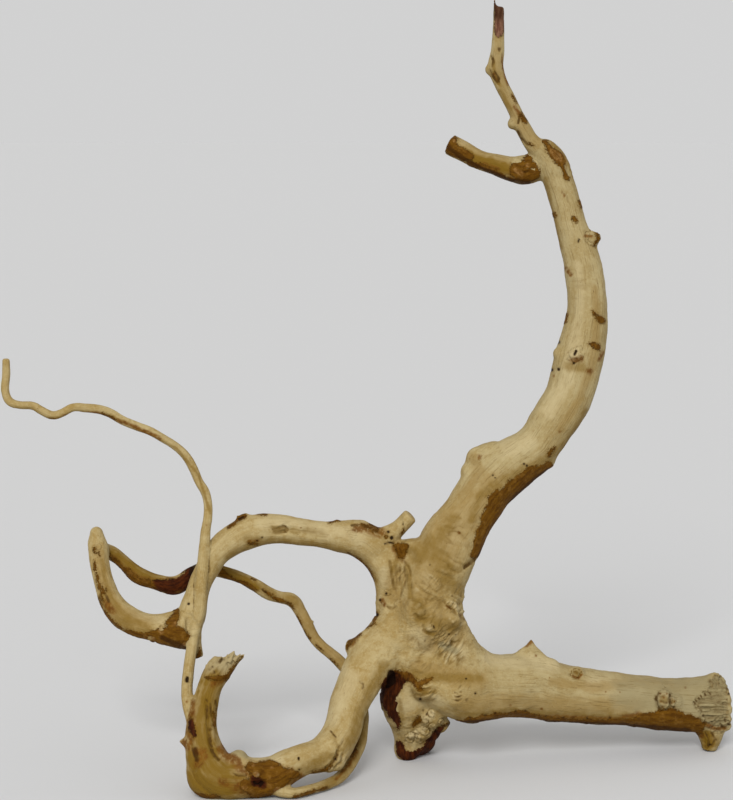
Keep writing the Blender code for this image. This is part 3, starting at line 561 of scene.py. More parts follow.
# Painted shade: olive down the right edge and underside. Painted highlight: pale down the left front.
mark("olive_and_shade", [(240, 84, 4), (232, 70, 4), (226, 58, 4), (222, 44, 4), (216, 32, 4)],
     [(205, 28, 4), (190, 19, 4), (180, 14, 4)])
dots("olive_and_shade", (210, 24, 5))
mark("pale_and_highlight", [(213, 82, 5), (220, 76, 6), (212, 62, 6), (208, 50, 5)])
dots("pale_and_highlight", (212, 24, 4))
# The jagged brown bark of the elbow, its pale oval and its black knot.
mark("bark", [(122, 3.6, 1), (130, 2.2, 1.4), (137, 2, 0.8)], rise=0.1)
mark("bark", [(156.4, 20.6, 3.4), (162, 18.4, 5.4), (168, 18.6, 6.2), (174, 17.6, 4.4), (180, 16.4, 3),
     (186, 15.4, 1.2)], rise=0.4)
mark("bark", [(152.6, 9.4, 3.8), (159, 8, 6.6), (167, 8, 6), (172, 10, 5), (178, 13, 3.4)], rise=0.3,
     all_round=True)
mark("stain", [(156, 18, 6), (168, 17, 8), (180, 16, 5)], [(139, 33, 3), (141, 28, 3.6), (145, 25, 2.4)],
     [(138, 12, 2.6), (142, 10, 2.4)], [(149, 25, 2), (151, 20, 2)])
mark("stain", [(150, 8, 6), (160, 6, 7), (170, 8, 7), (180, 12, 5), (188, 15, 3)],
     [(141, 28, 4), (137.6, 32.4, 3), (145.4, 25, 4)], all_round=True)
dots("stain", (150, 20, 4.5), (140.4, 10.4, 3.2))
mark("bare", [(146.6, 12.6, 3), (147, 7.4, 2.4)], [(136, 26.4, 1), (140, 21.6, 1.6), (144, 17.4, 1.2)])
dots("bare", (173, 6.4, 2.2))
dots("bare", (160.6, 16.6, 2.1), rise=0.5)
dots("tan", (158, 21.6, 1.2), (169, 20.6, 1.4), (153, 8, 1.6))
mark("red", [(159, 12, 3.4), (164, 9.4, 3.6)])
mark("pale_and_highlight", [(146.6, 12.6, 3), (147, 7.4, 2.4)], [(136, 26.4, 1.4), (140, 21.6, 2.2), (144, 17.4, 1.8)],
     [(155, 27, 2), (168, 25.4, 2), (175, 26, 3)])
mark("pit_shade", [(158.8, 11.2, 0.9), (161, 9.8, 0.8), (163.6, 10.8, 1.4), (162.6, 8, 0.7)], rise=-1.2)
dots("pit_shade", (155, 13, 0.7), rise=-0.4)
mark("crack", [(146, 17, 0.5), (149, 15.4, 0.7), (153.6, 15.6, 0.6)], rise=-0.4)
mark("grey", [(146.6, 30, 2.6), (153.4, 28.2, 2.2)], all_round=True)
mark("deep", [(122, 10, 12), (134, 9, 13), (147, 10, 10)], [(122, 26, 11), (132, 20, 10), (142, 18, 8)],
     all_round=True)
mark("crease", [(120.4, 18, 0.4), (123, 12, 0.5), (127, 7, 0.5), (131, 3.6, 0.5)], rise=-0.6)
mark("crease", [(119, 37, 0.4), (121, 28.6, 0.5), (121.8, 18, 0.5)], rise=-0.5)


# The broken stub
# The end of the same root stands up at the left and was snapped off long ago, so its face is
# pale and slanted with splinters, over olive skin with long cracks.
BROKEN_SPLINTERS = [
    ((137, 83, -46), (137.8, 91, -47), 3.4), ((142, 86, -45), (147.2, 94.2, -45), 4.2),
    ((143, 84, -44), (154.2, 92, -43), 4.4), ((131, 78, -47), (130.6, 87.8, -48), 4.2),
    ((134, 80, -41), (134.5, 88.6, -39), 4), ((119, 36, -54), (111.4, 36.8, -54), 5.6)]
for root, tip, radius in BROKEN_SPLINTERS:
    spike(root, tip, radius)
fine_tips += [
    ((131, 82, -50), (131.6, 87.2, -50.5), 1.6), ((134.6, 82, -51), (135.6, 88.4, -51.5), 1.5),
    ((137.4, 84, -51), (138.6, 90.4, -51), 1.5), ((140, 85, -50), (142.4, 91.4, -50), 1.6),
    ((143, 86, -49), (146, 92.4, -49), 1.8), ((146, 87, -47), (150.6, 91.6, -46), 1.8),
    ((129, 80, -49), (128.6, 85, -49), 1.5), ((145, 85, -43), (152.6, 89.8, -42), 2)]
mark("fresh", [(130, 82, 5), (136, 83, 6.4), (142, 84.6, 6.6), (147.4, 89, 5.4)])
dots("pit_shade", (131, 81.6, 0.5), (132.8, 83.2, 0.6), (133.6, 80.4, 0.5), rise=-0.5)
mark("crack", [(136, 85.4, 0.5), (137.4, 86.6, 0.7), (138.8, 88.4, 0.5)], rise=-0.9)
mark("crack", [(129, 62, 0.6), (129.6, 52, 0.7), (130.8, 42, 0.8), (131.2, 36, 0.8), (132.6, 30, 0.8),
     (134.4, 27.2, 0.7), (136.6, 25.2, 0.5)], rise=-0.8)
mark("crack", [(131.4, 60, 0.4), (132, 50, 0.5), (132, 44, 0.4)],
     [(119.6, 38, 0.5), (120.6, 31, 0.6), (122.6, 25, 0.5)], rise=-0.4)
mark("crack", [(132, 79, 0.4), (134, 79.6, 0.4)], [(134.6, 62, 0.4), (135, 56, 0.4)], rise=-0.3)
mark("bark", [(133.8, 54.4, 0.9), (134, 46.6, 1.1)], rise=-0.2)
mark("bark", [(142, 77, 1.5), (136.4, 76.2, 1.2), (131, 76.4, 0.6), (128, 77, 0.5)], rise=0.3)
mark("bark", [(119.4, 50, 1.4), (119.8, 44.6, 2.1), (121.6, 40.4, 1.5)], rise=0.1, all_round=True)
mark("bark", [(151.4, 89.4, 0.6), (147.4, 84.6, 0.9), (143.4, 79, 1.3), (140.6, 75.6, 1.5)], rise=0.2,
     all_round=True)
mark("deep", [(133, 74, 10), (131, 62, 10), (127, 50, 11), (126, 38, 12), (128, 28, 12)], all_round=True)
mark("stain", [(139, 75.4, 2.6), (133, 72, 2.4)], [(120.6, 62, 1.8), (120.4, 55, 2.2)],
     [(121.6, 31, 2.6), (126, 29.6, 4), (128, 27, 3), (122.6, 22, 3)])
mark("stain", [(118.6, 52, 3.4), (119.6, 44, 4), (119, 36, 2.6)], [(115, 36, 4), (117, 33, 3)],
     all_round=True)
dots("stain", (141, 31, 3))
mark("pale_and_highlight", [(133.6, 62, 1), (133.4, 44, 1.4), (133, 32, 1.2)],
     [(124.6, 62, 1.4), (125, 52, 2.2), (125.6, 42, 2.4), (127, 34, 2)])
dots("tan", (134, 50, 1.2))
mark("red", [(119.4, 48, 3), (121, 42, 3.6)], all_round=True)
mark("dark_and_shade", [(122, 32, 1.6), (123, 25, 1.6)])
mark("bare", [(125, 54, 2), (125.4, 44, 2.2), (126.6, 35, 2)])
dots("bare", (115, 36, 2.6))
fold((138, 84, 12, 62, 2.9, 0.88), (128, 62, 10, 88, 3.4, 0.77), (126, 42, 12, 92, 4, 0.66),
     (211, 25, 9, 48, 2.9, 1.1))


# The upper left limb
# A root that rises from the crown, arches over to the left and comes down to a blunt spur. It
# is smooth wood with an eyebrow crease on top, and a short stub branch was cut near its root.
limb("upper left limb", [
    (250, 104, 4, 13), (246.5, 118, 4, 11.8), (245.7, 130, 4, 10.9), (243.6, 141.7, 3, 11.1),
    (236.5, 154.2, 1, 11.4), (225.5, 162.4, -2, 11.4), (210, 164.8, -6, 9.2), (200, 166.2, -8, 8),
    (190, 167.5, -10, 8.5), (180, 169, -12, 9), (170, 169.5, -14, 9.1), (160, 168.6, -16, 9.9),
    (150.5, 165.2, -18, 9.7), (141, 159.3, -19, 8.7), (135, 153.4, -20, 8.2),
    (130.3, 145.3, -20, 7.7), (125.7, 136.5, -21, 7), (122.7, 128, -22, 7.3), (120.3, 118, -22, 8.6),
    (119, 108, -22, 7.6), (121, 99, -23, 4.9), (124, 88.8, -24, 3.2)])
web("stub branch", [(239, 163, 0, 7), (247.5, 168.6, -2, 5), (256.8, 177.9, -4, 4.6)])
knots((226, 168, -4, 6.4), (153.5, 174.2, -17, 4.9))
spike((152, 172, -17), (147.6, 178.2, -18), 3.4)
spike((209, 171, -7), (211, 175.6, -8), 3.2)
mark("bark", [(147.4, 174.4, 1.2), (149.6, 176, 1.7), (152.6, 177.8, 1.4)], rise=-0.3)
mark("bark", [(226, 172.4, 0.6), (229, 171, 0.9), (232, 169.8, 0.7)],
     [(233, 168.4, 0.8), (236, 168.6, 0.8)], rise=-0.2)
mark("bark", [(161, 178.6, 0.6), (166, 178.4, 0.7)],
     [(206, 173.6, 0.8), (208.8, 174.6, 1.1), (211.4, 175.2, 0.8)],
     [(155.4, 160.4, 0.7), (160.6, 160, 0.7)], [(231, 172.6, 0.7), (236.4, 170.6, 0.6)], rise=0.1)
mark("bark", [(142.6, 170.4, 0.7), (145.6, 172.4, 1), (148, 174.6, 1)],
     [(117.4, 98.8, 0.8), (116.4, 96, 0.7)], rise=0.2)
mark("bark", [(217, 154.6, 0.5), (225, 150, 0.6), (231, 142.6, 0.8), (234, 137, 0.5)],
     [(250.4, 166.6, 0.6), (256, 171.8, 0.8), (258.6, 175.4, 0.6)], rise=0.1, all_round=True)
mark("bark", [(123, 89.6, 1.8), (124.4, 91.6, 1.4), (124.8, 94.4, 0.6)], rise=0.2, all_round=True)
dots("bark", (241.4, 164.4, 1.2), rise=-0.3)
dots("bark", (116.6, 103, 0.8), rise=0.2)
mark("pit_shade", [(149.4, 175.6, 1), (151.8, 177, 0.9)], rise=-0.7)
mark("pit_shade", [(240.4, 160, 0.5), (243, 161, 0.6), (246, 160.4, 0.6)], rise=-0.4)
dots("pit_shade", (244.8, 163.8, 1.2), rise=-1.0)
dots("pit_shade", (242.6, 167.6, 1), rise=-0.9)
dots("pit_shade", (178.2, 167.8, 0.6), rise=-0.7)
dots("pit_shade", (163.8, 164, 0.7), (117.8, 122.6, 0.8), (119.4, 105.4, 0.7), rise=-0.4)
dots("pit_shade", (160.6, 162, 0.6), (252, 172.4, 0.7), rise=-0.3)
mark("dent", [(172.6, 167.4, 3), (177, 168, 3)], rise=-0.7)
mark("dent", [(190, 168.6, 5), (203, 166, 5)], rise=-0.5)
mark("bump", [(172.6, 170.8, 1.4), (177, 173, 1.6), (180.4, 170.6, 1.4)], rise=0.8)
dots("bump", (188, 171.4, 1), rise=0.5)
mark("crease", [(170.6, 169.4, 0.2), (174, 169.6, 0.4), (177.4, 171.2, 0.4), (179.6, 170, 0.2)], rise=-0.8)
mark("crease", [(175, 167.4, 0.2), (177.6, 167.6, 0.3), (179.4, 168.8, 0.2)], rise=-0.5)
mark("crack", [(130.2, 156, 0.5), (130, 149, 0.7), (130.8, 142.6, 0.5)], rise=-0.5)
mark("crack", [(178.4, 171, 0.3), (179.6, 168.8, 0.4), (178.8, 167.4, 0.3)], rise=-0.4)
mark("crack", [(220, 171.8, 0.5), (223.4, 172, 0.6)], [(121.4, 135, 0.3), (121.6, 120, 0.4)], rise=-0.3)
# Painted shade: olive beside the eyebrow crease and along the underside.
mark("olive_and_shade", [(169.6, 171, 1.6), (174, 170.6, 1.4)], [(183, 168.6, 2.6), (186, 168, 2)],
     [(155, 163, 4), (162, 162, 3.4)])
mark("olive_and_shade", [(143, 152, 3.4), (151, 157, 3.6), (160, 160.4, 3), (172, 161.4, 3), (190, 160.4, 3),
     (205, 158, 3.4), (218, 153.6, 3.6), (228, 147, 3.4), (234, 137, 3)], all_round=True)
dots("olive_and_shade", (255, 178, 3))
mark("stain", [(155.6, 161.6, 1.4), (161, 162, 1)], [(222, 170, 3), (230, 170, 4), (238, 167, 4)])
dots("stain", (187.8, 170.2, 0.7))
# Painted highlight: pale along the top of the limb.
mark("pale_and_highlight", [(165, 173, 5), (180, 174, 4), (195, 171.6, 4), (212, 168, 5), (225, 164, 6)])
dots("pale_and_highlight", (205, 165, 4))
dots("ring", (220.4, 165.2, 1.3), rise=0.3)
dots("ring", (220.4, 165.2, 2.6), rise=0.35)
dots("grey", (256.8, 177.4, 3.2))
fold((180, 169, 18, 2, 5, 0.66), (140, 160, 16, 42, 4, 0.44))


# The hook
# A root that leaves the upper left limb low down and curls up to a rounded tip. Its front is
# bare wood with a row of bark flecks, and the part by the limb is in red-brown bark.
limb("hook", [
    (117, 107.5, -22, 13), (105, 107, -22, 10.6), (95, 108, -21, 8.1), (85, 110.5, -20, 7.6),
    (77.2, 115, -19, 7.6), (70.3, 123.3, -17, 6.9), (65.5, 134, -14, 6.2), (63.2, 142, -12, 6),
    (61.8, 150, -9, 6.2), (61.3, 157, -7, 6.4), (60.6, 162, -6, 5.7), (60.4, 166.4, -6, 4.1)])
knots((60.3, 166.8, -6, 4))
for start_up, end_up, across, width in ((158.4, 154.4, 58.8, 0.7), (149.6, 144, 59, 1.1),
                                        (142, 136.6, 60.4, 1), (136.4, 132.6, 61.6, 1.1),
                                        (134.8, 129.6, 63.8, 1), (133, 130.6, 66, 0.6),
                                        (129, 124.6, 63.4, 0.8), (155, 152.6, 61.4, 0.5)):
    mark("bark", [(across, start_up, width * 0.5), (across + 0.5, end_up, width)], rise=0.15)
dots("ring", (61.4, 158.6, 1.9), rise=0.4)
mark("crack", [(64, 132, 0.4), (66.6, 127, 0.5), (68, 124, 0.4)], rise=-0.3)
mark("stain", [(66, 122.6, 3), (70, 118.4, 3)])
mark("stain", [(98, 102, 5), (108, 101, 8), (116, 98, 6)], all_round=True)
mark("olive_and_shade", [(64, 150, 1.6), (65.4, 138, 1.8), (70, 124, 2.6), (78, 114, 3), (90, 109.6, 3)])
mark("olive_and_shade", [(63.6, 128, 3), (68, 119, 4.4), (74, 112, 4.4), (82, 107.4, 4), (92, 105, 4)],
     all_round=True)
mark("bark", [(104, 110.6, 1), (107, 113, 1.2)], rise=0.3)
mark("bark", [(107, 109.4, 2.6), (109, 113.6, 2.4), (110.4, 117, 1.8), (111.6, 120, 1)], rise=0.4)
mark("bark", [(61.6, 127, 0.5), (64, 120, 0.7), (68, 114.2, 0.9), (74, 108.4, 0.9), (80, 104.8, 1.2),
     (88, 102.6, 2.2), (95, 101.4, 2.6)], rise=0.3, all_round=True)
mark("bark", [(97, 103.2, 3.4), (103, 102.6, 5.6), (108, 103.4, 6.4), (113, 100.6, 6.4), (117, 97.6, 5)],
     rise=0.45, all_round=True)
mark("bare", [(115.4, 98.4, 1.6), (114, 95.6, 1.2)], [(93.6, 101.2, 1.3), (96.4, 101, 0.9)])
dots("bare", (101, 106.6, 1.3))
mark("dun_and_shade", [(62, 156, 4), (63, 142, 5), (69, 124, 6), (79, 115, 6), (92, 110, 5)], all_round=True)
mark("pale_and_highlight", [(84, 115, 2.4), (92, 113.4, 3), (102, 112.6, 3.4)])
dots("tan", (101, 105, 1.6), (109.6, 110, 1.8))
mark("dark_and_shade", [(101, 101.6, 1.6), (110, 97.4, 1.8), (117, 94, 1.6)], all_round=True)
fold((64, 142, 14, 108, 3, 0.55), (84, 112, 16, -28, 4, 0.44))


# The thin root
# The hook's tip runs on as a thin root, in thin olive and brown skin, and passes behind both
# left limbs to grow into the elbow.
limb("thin root", [
    (61.5, 157, -4, 5.6), (66, 155.5, 0, 4.9), (70.5, 154, 2, 4.4), (75, 150.5, 3, 4),
    (80, 146, 3, 4.2), (85, 141.6, 4, 4.9), (90, 139, 4, 4.9), (95, 137.2, 5, 4.6),
    (100, 135.7, 5, 4.8), (105, 134.3, 5, 5.3), (110, 134.2, 5, 5.6), (115, 137, 5, 5.1),
    (120, 141, 5, 4.4), (126, 144, 5, 4.1), (133, 143.8, 5, 3.9), (140, 142.4, 6, 3.7),
    (150, 139.2, 7, 3.3), (160, 134, 8, 3.6), (168, 129, 9, 3.8), (175, 126.7, 10, 3.5),
    (182.6, 124.7, 10, 4.2), (187.7, 117.8, 11, 3.7), (191.7, 110.3, 11, 3.6),
    (195.3, 103, 12, 3.4), (200.2, 97, 12, 3.2), (207, 91.3, 12, 3.2), (212.7, 86, 12, 3.5),
    (219, 78, 12, 3.4), (224, 66, 9, 3.3), (227, 54, 4, 3.2), (226.8, 46, -3, 3.1),
    (225.3, 35, -12, 3.4), (222.7, 29, -18, 3.4), (220, 24.3, -24, 3.6), (216, 18.5, -31, 3.5),
    (211.5, 13.6, -38, 3.2), (205.3, 10.3, -44, 3.2), (198.3, 7.9, -51, 3), (190.2, 5.7, -58, 3.2),
    (183, 4.4, -62, 3.3), (176, 5.4, -62, 3.5), (168, 9, -59, 4)])
for start, middle, end, width in (
        ((164, 131.4), (166.6, 129.6), (169, 128.2), 1.3),
        ((170.6, 126.6), (174, 125.2), (177, 124.2), 1.2),
        ((179, 123.4), (181.4, 122), (183.6, 119.8), 1.1),
        ((185.6, 114.8), (187, 112), (188.4, 109.4), 0.5),
        ((190, 106), (191.6, 103.6), (193.6, 101), 0.5), ((197.4, 97), (199.6, 95), (202, 93), 0.5),
        ((206, 89), (208.6, 86.6), (211, 83.6), 0.6)):
    mark("bark", [(*start, width * 0.6), (*middle, width), (*end, width * 0.6)], rise=0.1, all_round=True)
mark("deep", [(66, 156, 5), (75, 150, 7), (85, 142, 8), (98, 137, 7)],
     [(140, 142, 6), (150, 138, 5), (160, 133, 3.6)], all_round=True)
mark("stain", [(70, 151.6, 2.6), (78, 144, 2.4), (86, 138, 3.4), (96, 134.4, 3.4)],
     [(104, 135, 5), (112, 135, 6)], [(222.6, 30, 1.6), (218, 22, 1.6), (210, 13, 1.2)], all_round=True)
mark("bark", [(157, 138.4, 0.5), (159.4, 137.4, 0.6)], [(224, 42, 1), (222.4, 35, 1.2), (219.6, 28, 1)],
     rise=0.1)
mark("bark", [(204, 7.6, 0.8), (194, 5, 0.9), (184, 2, 0.9)], rise=0.1, all_round=True)
mark("bark", [(68, 153.6, 1.6), (70.4, 151.2, 1.3), (76, 146, 1.2), (82, 139.6, 1.9), (87, 136.4, 2.6),
     (93, 134.4, 2.8), (99, 133, 4)],
     [(101, 134.6, 3.4), (106, 133, 5), (111, 132.4, 5.6), (115.6, 136, 5), (119.6, 140.6, 4.4)],
     [(137.6, 142.6, 2.4), (140.6, 140.4, 1.7), (146, 138, 1.1), (152, 135.2, 1.1), (156.6, 133.6, 1.5),
     (160, 131.8, 0.6)], rise=0.2, all_round=True)
mark("red", [(101, 136, 6), (108, 134, 8), (115, 137, 7), (122, 143, 6)], all_round=True)
mark("pit_shade", [(119.6, 142.4, 2.2), (123.6, 146.6, 2.4)], all_round=True)
dots("pit_shade", (166, 130, 1.1), rise=-0.4)
mark("crack", [(108, 138, 0.5), (107.4, 134, 0.6), (110, 131, 0.5)], rise=-0.4)
mark("olive_and_shade", [(160, 134, 4), (172, 128, 4), (183, 124, 4)],
     [(226, 50, 3), (226, 40, 3), (222, 28, 3), (213, 15, 3), (200, 7, 3)], all_round=True)
mark("dun_and_shade", [(184, 124, 4), (190, 112, 5), (198, 99, 5), (212, 86, 5)], all_round=True)
dots("bump", (195.6, 111.6, 1.4), rise=0.9, all_round=True)


# The whisker
# The thinnest root of all grows out of the elbow, lies up along the upper left limb and runs
# away to the left. It is bare wood with one black knot hole low down.
limb("whisker", [
    (124, 41, -51, 4.5), (119.7, 51.3, -50, 3.7), (117.5, 59.4, -46, 3.4), (116.8, 68.8, -42, 3.3),
    (117.4, 76.9, -38, 3.2), (119.6, 93.8, -33, 3.2), (121.9, 107.5, -29, 3.4),
    (125, 120.6, -28.5, 3.7), (125.6, 134.4, -28, 3.7), (126.9, 148.1, -27, 3.5),
    (127.8, 159.4, -27, 3.1), (128.5, 168.8, -27, 2.7), (129.9, 177, -26, 2.6),
    (129.7, 186.3, -25, 2.6), (128.1, 192.5, -25, 2.7), (124.4, 198.8, -25, 2.6),
    (120.6, 207.5, -26, 2.6), (115.6, 215.6, -27, 2.6), (109.4, 221.3, -28, 2.5),
    (101.3, 226.3, -30, 2.4), (93.8, 230.6, -31, 2.4), (84.4, 234.1, -32, 2.5),
    (76.3, 237.5, -33, 2.5), (68.8, 241.9, -34, 2.6), (62.5, 244, -35, 2.6), (53.1, 245, -36, 2.6),
    (45.6, 245.3, -37, 2.4), (38.8, 241.9, -38, 2.4), (33.1, 240.3, -38, 2.5),
    (26.3, 243.1, -39, 2.4), (20.6, 246.3, -39, 2.3), (12.5, 246.8, -40, 2.3), (6.3, 248.8, -40, 2.5),
    (3.3, 255, -40, 2.4), (3.8, 265.6, -40, 2.4), (3.8, 276, -40, 2.1)])
mark("pit_shade", [(117, 76.2, 1.1), (116.8, 74.6, 1.2)], rise=-1.3)
dots("ring", (117, 75.4, 1.7), rise=0.3)
mark("stain", [(100, 226, 1.6), (80, 235, 1.6), (60, 242, 1.6), (40, 240, 1.6)])
dots("stain", (116.6, 61.4, 1), (129, 172, 1))
mark("olive_and_shade", [(131, 180, 1.2), (124, 203, 1), (110, 220, 1), (90, 230, 1), (70, 240, 1), (35, 239, 1)],
     all_round=True)
mark("bark", [(64, 241.6, 0.5), (68, 240, 0.6), (72, 238, 0.5)], [(31, 238.4, 0.4), (35, 238.2, 0.4)],
     rise=0.1, all_round=True)


# Growing together
# The roots grew into one another for years, so the wood is one body with no joint in it. The
# tubes are fused into one skin, which is eased at the forks and left crisp on the thin roots.
FIRST_VOXEL = 0.95
LAST_VOXEL = 0.64
THIN_RADIUS = 3.5
EASED_OVER = 8.0
EASE_LEVELS = 20
HALF_LEVEL = 0.0251
EASE_ROUNDS = 22
EVEN_ROUNDS = 4


def pick(item):
    """Make this the one selected and active object."""
    bpy.ops.object.select_all(action="DESELECT")
    item.select_set(True)
    bpy.context.view_layer.objects.active = item


def joined(items):
    """These objects as one."""
    pick(items[0])
    for item in items:
        item.select_set(True)
    bpy.ops.object.join()
    bpy.ops.object.transform_apply(location=True, rotation=True, scale=True)
    return bpy.context.object


def one_skin(item, voxel):
    """Fuse closed shells that overlap into one skin of even faces."""
    pick(item)
    bpy.ops.object.modifier_add(type="REMESH")
    skin = item.modifiers[-1]
    skin.mode = "VOXEL"
    skin.voxel_size = voxel * MM
    skin.adaptivity = 0.0
    bpy.ops.object.modifier_apply(modifier=skin.name)


def smoothed(item, factor, rounds, group=""):
    """Even out the skin, all of it or as much as a vertex group says."""
    pick(item)
    bpy.ops.object.modifier_add(type="SMOOTH")
    ease = item.modifiers[-1]
    ease.factor = factor
    ease.iterations = rounds
    ease.vertex_group = group
    bpy.ops.object.modifier_apply(modifier=ease.name)


def points_of(item):
    """The vertices in millimetres, and their normals."""
    count = len(item.data.vertices)
    spots = np.empty(count * 3)
    ways = np.empty(count * 3)
    item.data.vertices.foreach_get("co", spots)
    item.data.vertices.foreach_get("normal", ways)
    return spots.reshape(-1, 3) / MM, ways.reshape(-1, 3)


def move_to(item, spots):
    """Put the vertices at these spots, in millimetres."""
    item.data.vertices.foreach_set("co", (spots * MM).ravel())
    item.data.update()


wood = joined(raw_wood)
wood.name = "weathered_driftwood"
bpy.ops.object.mode_set(mode="EDIT")
bpy.ops.mesh.select_all(action="SELECT")
bpy.ops.mesh.remove_doubles(threshold=0.00001)
bpy.ops.object.mode_set(mode="OBJECT")
one_skin(wood, FIRST_VOXEL)

all_middles = np.vstack([line["spots"] for line in lines.values()] + webs)
middle_tree = kdtree.KDTree(len(all_middles))
for number, spot in enumerate(all_middles):
    middle_tree.insert(spot[:3], number)
middle_tree.balance()


def radius_near(spots):
    """The radius of the limb whose middle line is nearest to each spot."""
    return np.array([all_middles[middle_tree.find(spot)[1], 3] for spot in spots.tolist()])


spots, ways = points_of(wood)
thickness = radius_near(spots)
eased = np.clip((thickness - THIN_RADIUS) / EASED_OVER, 1 / EASE_LEVELS, 1.0)
group = wood.vertex_groups.new(name="thick")
for level in range(1, EASE_LEVELS + 1):
    share = level / EASE_LEVELS
    chosen = np.flatnonzero(np.abs(eased - share) <= HALF_LEVEL)
    group.add(chosen.tolist(), share, "REPLACE")
smoothed(wood, 0.5, EASE_ROUNDS, "thick")
smoothed(wood, 0.4, EVEN_ROUNDS)


# Weathering
# Water and sand wore the wood after it died. It swells and sinks a little along its length,
# is rippled and lumpy on the crown, and has been scooped out where it was soft.
SWELL_REACH = 26.0
SWELL_DEPTH = 0.09
LUMP_REACH = 9.0
LUMP_DEPTH = 0.035
CROWN_LUMP_DEPTH = 1.3
CROWN_LUMPS = (((268, 100, 0), 44.0),)
RIPPLE_SPACING = 6.5
RIPPLE_SLANT = 14.0
RIPPLE_DEPTH = 0.8
RIPPLES = (((280, 95, -14), 16.0),)
SCOOP_SPREAD = 1.6
SCOOPS = [
    ((252, 152, -14), 7, 5), ((247, 76, -6), 7, 3.5), ((254, 155, -9), 5, 2.5), ((284, 77, -18), 6, 2.2),
    ((163, 9, -70), 4.5, 2), ((238, 152, -8), 5, 1.5), ((180, 167, -21), 7, 1.3),
    ((262, 128, -17), 6, 1.6), ((236.5, 120, -2), 4, 1.5)]
FINE_TIP = 0.35
PIECE_TRIANGLES = 196000


def rough(spots, reach):
    """Soft noise, about -1 to 1, over spots in millimetres, with bumps about that far apart."""
    return np.array([noise.noise(spot) for spot in (spots / reach).tolist()])


def ridged(spots):
    """Noise with round ridges and sharp valleys, about -0.5 to 1, over spots already scaled."""
    return 2.4 * np.abs(rough(spots, 1.0)) - 0.5


def fade(distance, reach):
    """1 at the middle, 0 from the reach outwards, smooth between."""
    share = np.clip(1.0 - distance / reach, 0.0, 1.0)
    return share * share * (3.0 - 2.0 * share)


def gap_to(spots, point):
    """How far each spot is from a drawn point."""
    return np.linalg.norm(spots - np.array(place(*point)) / MM, axis=1)


def nearness(spots, middles):
    """How near each spot is to drawn middles: 1 at each of them, 0 from its reach outwards."""
    return sum(fade(gap_to(spots, middle), reach) for middle, reach in middles)


def at_least(layer, here, values):
    """Raise a layer to these values where it is lower."""
    layer[here] = np.maximum(layer[here], values)


spots, ways = points_of(wood)
thickness = radius_near(spots)
move = rough(spots, SWELL_REACH) * SWELL_DEPTH * thickness
move += rough(spots, LUMP_REACH) * LUMP_DEPTH * thickness
move += rough(spots, LUMP_REACH) * CROWN_LUMP_DEPTH * nearness(spots, CROWN_LUMPS)
wave = np.sin(spots[:, 2] / RIPPLE_SPACING * math.tau + spots[:, 0] / RIPPLE_SLANT)
move += wave * RIPPLE_DEPTH * nearness(spots, RIPPLES)
for middle, reach, depth in SCOOPS:
    move -= depth * fade(gap_to(spots, middle), reach * SCOOP_SPREAD)
move_to(wood, spots + ways * move[:, None])

# The finest splinters and fibre tips are set on after the easing, so that they stay sharp.
raw_wood.clear()
for root, tip, radius in fine_tips:
    spike(root, tip, radius, FINE_TIP)
wood = joined([wood] + raw_wood)
one_skin(wood, LAST_VOXEL)
smoothed(wood, 0.5, 1)

line_spots = np.vstack([line["spots"] for line in lines.values()])
line_ways = np.vstack([line["way"] for line in lines.values()])
line_sides = np.vstack([line["side"] for line in lines.values()])
line_runs = np.concatenate([line["run"] for line in lines.values()])
line_limbs = np.concatenate([[number] * len(line["run"]) for number, line in enumerate(lines.values())])
viewer = np.array(place(AIM_ACROSS, AIM_UP, -VIEWER_DISTANCE)) / MM
LOOK = np.array([0.0, math.cos(VIEWER_DROP), -math.sin(VIEWER_DROP)])
LOOK_UP = np.array([0.0, math.sin(VIEWER_DROP), math.cos(VIEWER_DROP)])
AT_ONCE = 8000
FAR_OUTSIDE = -99.0


def on_the_drawing(spots):
    """Where the viewer of the drawing sees each spot: across and up."""
    from_aim = spots - np.array([0.0, 0.0, AIM_HEIGHT])
    spread = 1.0 + from_aim @ LOOK / VIEWER_DISTANCE
    return AIM_ACROSS + from_aim[:, 0] / spread, AIM_UP + from_aim @ LOOK_UP / spread


def fibres_of(spots):
    """The limb of each spot, and where it is in that limb: two ways across, and the run."""
    limb_number = np.empty(len(spots), int)
    grain = np.empty((len(spots), 3))
    for start in range(0, len(spots), AT_ONCE):
        here = slice(start, start + AT_ONCE)
        part = spots[here]
        squares = (part ** 2).sum(axis=1)[:, None] + (line_spots[:, :3] ** 2).sum(axis=1)
        squares -= 2.0 * part @ line_spots[:, :3].T
        best = np.argmin(np.sqrt(np.maximum(squares, 0.0)) - line_spots[:, 3], axis=1)
        offset = part - line_spots[best, :3]
        other = np.cross(line_ways[best], line_sides[best])
        limb_number[here] = line_limbs[best]
        grain[here, 0] = (offset * line_sides[best]).sum(axis=1)
        grain[here, 1] = (offset * other).sum(axis=1)
        grain[here, 2] = line_runs[best] + (offset * line_ways[best]).sum(axis=1)
    return limb_number, grain


def inside(path, across, up):
    """How far inside a drawn mark each spot lies, in millimetres, and as a share of its width."""
    deepest = np.full(len(across), FAR_OUTSIDE)
    share = np.full(len(across), FAR_OUTSIDE)
    ends = path[1:] if len(path) > 1 else path
    for (x1, y1, w1), (x2, y2, w2) in zip(path, ends):
        length = max((x2 - x1) ** 2 + (y2 - y1) ** 2, 1e-6)
        along = np.clip(((across - x1) * (x2 - x1) + (up - y1) * (y2 - y1)) / length, 0.0, 1.0)
        width = w1 + (w2 - w1) * along
        gap = np.hypot(across - x1 - (x2 - x1) * along, up - y1 - (y2 - y1) * along)
        deepest = np.maximum(deepest, width - gap)
        share = np.maximum(share, 1.0 - gap / width)
    return deepest, share


